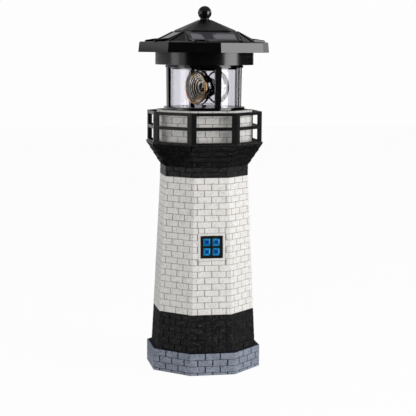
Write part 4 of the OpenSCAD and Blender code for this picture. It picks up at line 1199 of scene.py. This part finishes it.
def seen_share(tree):
    """1 where the camera sees straight, in a mirror or through clear plastic, and 0 elsewhere."""
    path = add_node(tree, "ShaderNodeLightPath").outputs
    seen = path["Is Camera Ray"]
    for ray in ("Is Glossy Ray", "Is Transmission Ray"):
        both = {0: seen, 1: path[ray]}
        seen = add_node(tree, "ShaderNodeMath", both, operation="MAXIMUM").outputs[0]
    return seen


def flag_cloth(name, shade, tint=(1, 1, 1)):
    """Studio cloth that shows in reflections and is clear to everything else."""
    kit = Finish(name)
    depth = add_node(kit.tree, "ShaderNodeLightPath").outputs["Glossy Depth"]
    clear = kit.make("ShaderNodeBsdfTransparent")
    glow = kit.make("ShaderNodeEmission", {"Strength": shade, "Color": (*tint, 1)})
    shown = {0: kit.work("GREATER_THAN", depth, 0.5), 1: clear, 2: glow}
    kit.tree.nodes.remove(kit.shader)
    return kit.shown_as(kit.make("ShaderNodeMixShader", shown))


def flag_piece(name, points, faces, cloth):
    """Stage cloth that only reflections see."""
    mesh = bpy.data.meshes.new(name)
    mesh.from_pydata(points, [], faces)
    mesh.materials.append(cloth)
    piece = linked(name, mesh)
    for ray in ("camera", "diffuse", "shadow", "volume_scatter"):
        setattr(piece, "visible_" + ray, False)


def flag(name, cloth, start, end, distance, low, high):
    """A curved flag that stands round the object between two turns in degrees."""
    steps, points = 24, []
    for i in range(steps + 1):
        turn = math.radians(start + (end - start) * i / steps)
        points += [around(turn, distance, low), around(turn, distance, high)]
    faces = [(2 * i, 2 * i + 2, 2 * i + 3, 2 * i + 1) for i in range(steps)]
    flag_piece(name, points, faces, cloth)


def flag_disc(name, cloth, inner, outer, level):
    """A level ring of cloth."""
    steps, points = 48, []
    for i in range(steps):
        points += [around(math.tau * i / steps, reach, level) for reach in (inner, outer)]
    last = 2 * steps
    faces = [(2 * i, 2 * i + 1, (2 * i + 3) % last, (2 * i + 2) % last) for i in range(steps)]
    flag_piece(name, points, faces, cloth)


def softbox(name, power, width, height, middle, towards):
    """A rectangular lamp that faces a point."""
    light = bpy.data.lights.new(name, "AREA")
    light.shape = "RECTANGLE"
    light.size, light.size_y = width, height
    light.energy = power
    return aimed(linked(name, light), middle, Vector(towards) - Vector(middle), "-Z")


class LIGHTHOUSE_OT_studio(bpy.types.Operator):
    """Sets up the camera, the floor, the cards and the lamps"""

    bl_idname = "lighthouse.studio"
    bl_label = "Studio"

    def execute(self, context):
        studio, scene = context.scene.lighthouse_studio, context.scene
        scene.view_settings.view_transform = "Standard"
        self.camera(scene, studio)
        self.world(scene, studio)
        self.floor()
        middle = (0, 0, 0.2)
        # name, power, width, height, turn from the camera, distance, level, seen in mirrors
        lamps = [
            ("key_softbox", studio.key, 0.46, 0.6, 64, 0.75, 0.22, True),
            ("fill_softbox", studio.fill, 0.6, 0.5, -66, 0.75, 0.3, False),
            ("strip_softbox", studio.strip, 0.26, 0.18, -70, 0.75, 0.2, True),
            ("rim_softbox", studio.rim, 0.3, 0.3, 118, 0.9, 0.47, True),
            ("front_softbox", studio.front, 0.5, 0.3, -4, 0.9, 0.75, False),
        ]
        for *box, turn, distance, level, mirrored in lamps:
            spot = around(studio.azimuth + math.radians(turn), distance, level)
            softbox(*box, spot, middle).visible_glossy = mirrored
        dark, dim = flag_cloth("black_cloth", 0.0), flag_cloth("grey_cloth", 0.28)
        pale = flag_cloth("pale_cloth", 0.36)
        # name, cloth, start and end as turns from the camera, distance, bottom and top
        flags = [
            ("front_flag", dark, -44, 47, CLOTH_DISTANCE, -0.1, 0.75),
            ("right_flag", dark, 80, 160, CLOTH_DISTANCE, -0.1, 0.3),
            ("left_flag", dim, -170, -84, CLOTH_DISTANCE, 0.212, 0.35),
            ("rear_flag", pale, 150, 215, 1.2, 0.25, 1.2),
        ]
        facing = math.degrees(studio.azimuth)
        for name, cloth, start, end, *stand in flags:
            flag(name, cloth, facing + start, facing + end, *stand)
        flag_disc("floor_flag", dark, 0.06, CLOTH_DISTANCE, 0.0)
        flag_disc("ceiling_flag", dim, 0.0, 2.2, 1.3)
        sky = flag_cloth("sky_cloth", 1.0, (0.96, 0.94, 1.0))
        self.sky_card(scene.camera.location, sky, dark)
        return {"FINISHED"}

    def sky_card(self, eye, cloth, dark):
        """Two small bright cards before a dark one overhead, which the front panel mirrors: painted
        reflections of the sky, with a dark T between them that is a painted reflection of the cap
        and finial.

        Their outlines are drawn on the panel, in shares of its half width and half height, and
        are carried out from the camera's image in the panel.
        """
        shape = bmesh.new()
        shape.from_mesh(frame["nodes"]["solar_panel_front"].data)
        faces = [face for face in shape.faces if face.normal.z > 0.5]
        normal = sum((face.normal * face.calc_area() for face in faces), Vector()).normalized()
        spots = [vert.co.copy() for face in faces for vert in face.verts]
        shape.free()
        middle = sum(spots, Vector()) / len(spots)
        across = UP.cross(normal).normalized()
        along = normal.cross(across)
        half = max(abs((spot - middle).dot(across)) for spot in spots)
        rise = max(abs((spot - middle).dot(along)) for spot in spots)
        image = eye - normal * (2 * (eye - middle).dot(normal))

        def card(name, outline, reach, material):
            points = []
            for x, y in outline:
                spot = middle + across * (x * half) + along * (y * rise)
                points.append(image + (spot - image) * reach)
            flag_piece(name, points, [range(len(points))], material)

        bright_reach, dark_reach = 1.9, 1.95
        # shift, post and head shape the dark T left between the bright cards: a painted reflection
        # of the cap and finial
        shift, post, head = -0.26, 0.25, 0.58
        outline = [(post, -1.4), (1.4, -1.4), (1.4, 0.75), (head, 0.75), (post, 0.3)]
        for name, side in (("sky_card_left", -1), ("sky_card_right", 1)):
            card(name, [(side * x + shift, y) for x, y in outline], bright_reach, cloth)
        card("sky_gap", [(-1.5, -1.5), (1.5, -1.5), (1.5, 1.2), (-1.5, 1.2)], dark_reach, dark)

    def camera(self, scene, studio):
        """The camera, aimed at its target and rolled."""
        eye = bpy.data.cameras.new("camera")
        eye.sensor_width = 36.0
        eye.lens = studio.lens
        eye.clip_start, eye.clip_end = 0.05, 20.0
        turn, rise = studio.azimuth, studio.elevation
        back = Vector(around(turn, math.cos(rise), math.sin(rise)))
        side = Vector((math.cos(turn), math.sin(turn), 0))
        target = side * studio.target_side + UP * studio.target_height
        camera = aimed(linked("camera", eye), target + back * studio.distance, -back, "-Z")
        camera.rotation_quaternion @= Matrix.Rotation(studio.roll, 3, "Z").to_quaternion()
        scene.camera = camera

    def world(self, scene, studio):
        """Even light from all round, with a near-white backdrop for the camera."""
        scene.world = bpy.data.worlds.new("studio_world")
        scene.world.use_nodes = True
        tree = scene.world.node_tree
        tree.nodes.clear()
        backdrop = {"Strength": 1.0, "Color": (0.985, 0.985, 0.985, 1)}
        lit = add_node(tree, "ShaderNodeBackground", {"Strength": studio.world})
        shown = add_node(tree, "ShaderNodeBackground", backdrop)
        mix = {0: seen_share(tree), 1: lit.outputs[0], 2: shown.outputs[0]}
        mix = add_node(tree, "ShaderNodeMixShader", mix)
        add_node(tree, "ShaderNodeOutputWorld", {0: mix.outputs[0]})

    def floor(self):
        """A near-white floor that the camera sees almost evenly lit."""
        kit = Finish("studio_floor", Roughness=0.9, Specular_IOR_Level=0.0)
        kit.wired(Base_Color=kit.blend(kit.spread(kit.grain(4, 3)), (0.86,) * 3, (0.9,) * 3))
        glow = kit.make("ShaderNodeEmission", {"Color": (1, 1, 1, 1), "Strength": 1.0})
        share = kit.work("MULTIPLY", seen_share(kit.tree), 0.96)
        mix = kit.make("ShaderNodeMixShader", {0: share, 1: kit.shader.outputs[0], 2: glow})
        kit.shown_as(mix)
        mesh = bpy.data.meshes.new("studio_floor")
        mesh.from_pydata([(-3, -3, 0), (3, -3, 0), (3, 3, 0), (-3, 3, 0)], [], [(0, 1, 2, 3)])
        mesh.materials.append(kit.material)
        aimed(linked("studio_floor", mesh), (0, 0, -0.02 * MM), UP, "Z")


# Add-on


STEPS = [
    LIGHTHOUSE_OT_studio,
    LIGHTHOUSE_OT_bricks,
    LIGHTHOUSE_OT_window,
    LIGHTHOUSE_OT_gallery,
    LIGHTHOUSE_OT_lantern,
    LIGHTHOUSE_OT_beacon,
    LIGHTHOUSE_OT_roof,
    LIGHTHOUSE_OT_panels,
    LIGHTHOUSE_OT_drive,
]


class LIGHTHOUSE_PT_panel(bpy.types.Panel):
    """Lists the lighthouse's settings and steps"""

    bl_idname = "LIGHTHOUSE_PT_panel"
    bl_label = "Garden Lighthouse"
    bl_space_type = "VIEW_3D"
    bl_region_type = "UI"
    bl_category = "Lighthouse"

    def draw(self, context):
        layout = self.layout
        for step in STEPS:
            layout.operator(step.bl_idname)
        for key, group in GROUPS.items():
            box = layout.box()
            settings = getattr(context.scene, key)
            for name in group.__annotations__:
                box.prop(settings, name)


CLASSES = [*GROUPS.values(), *STEPS, LIGHTHOUSE_PT_panel]


def register():
    for item in CLASSES:
        bpy.utils.register_class(item)
    for key, group in GROUPS.items():
        setattr(bpy.types.Scene, key, bpy.props.PointerProperty(type=group))


def unregister():
    for key in GROUPS:
        delattr(bpy.types.Scene, key)
    for item in reversed(CLASSES):
        bpy.utils.unregister_class(item)


def main():
    register()
    for step in STEPS:
        group, name = step.bl_idname.split(".")
        getattr(getattr(bpy.ops, group), name)()


if __name__ == "__main__":
    main()
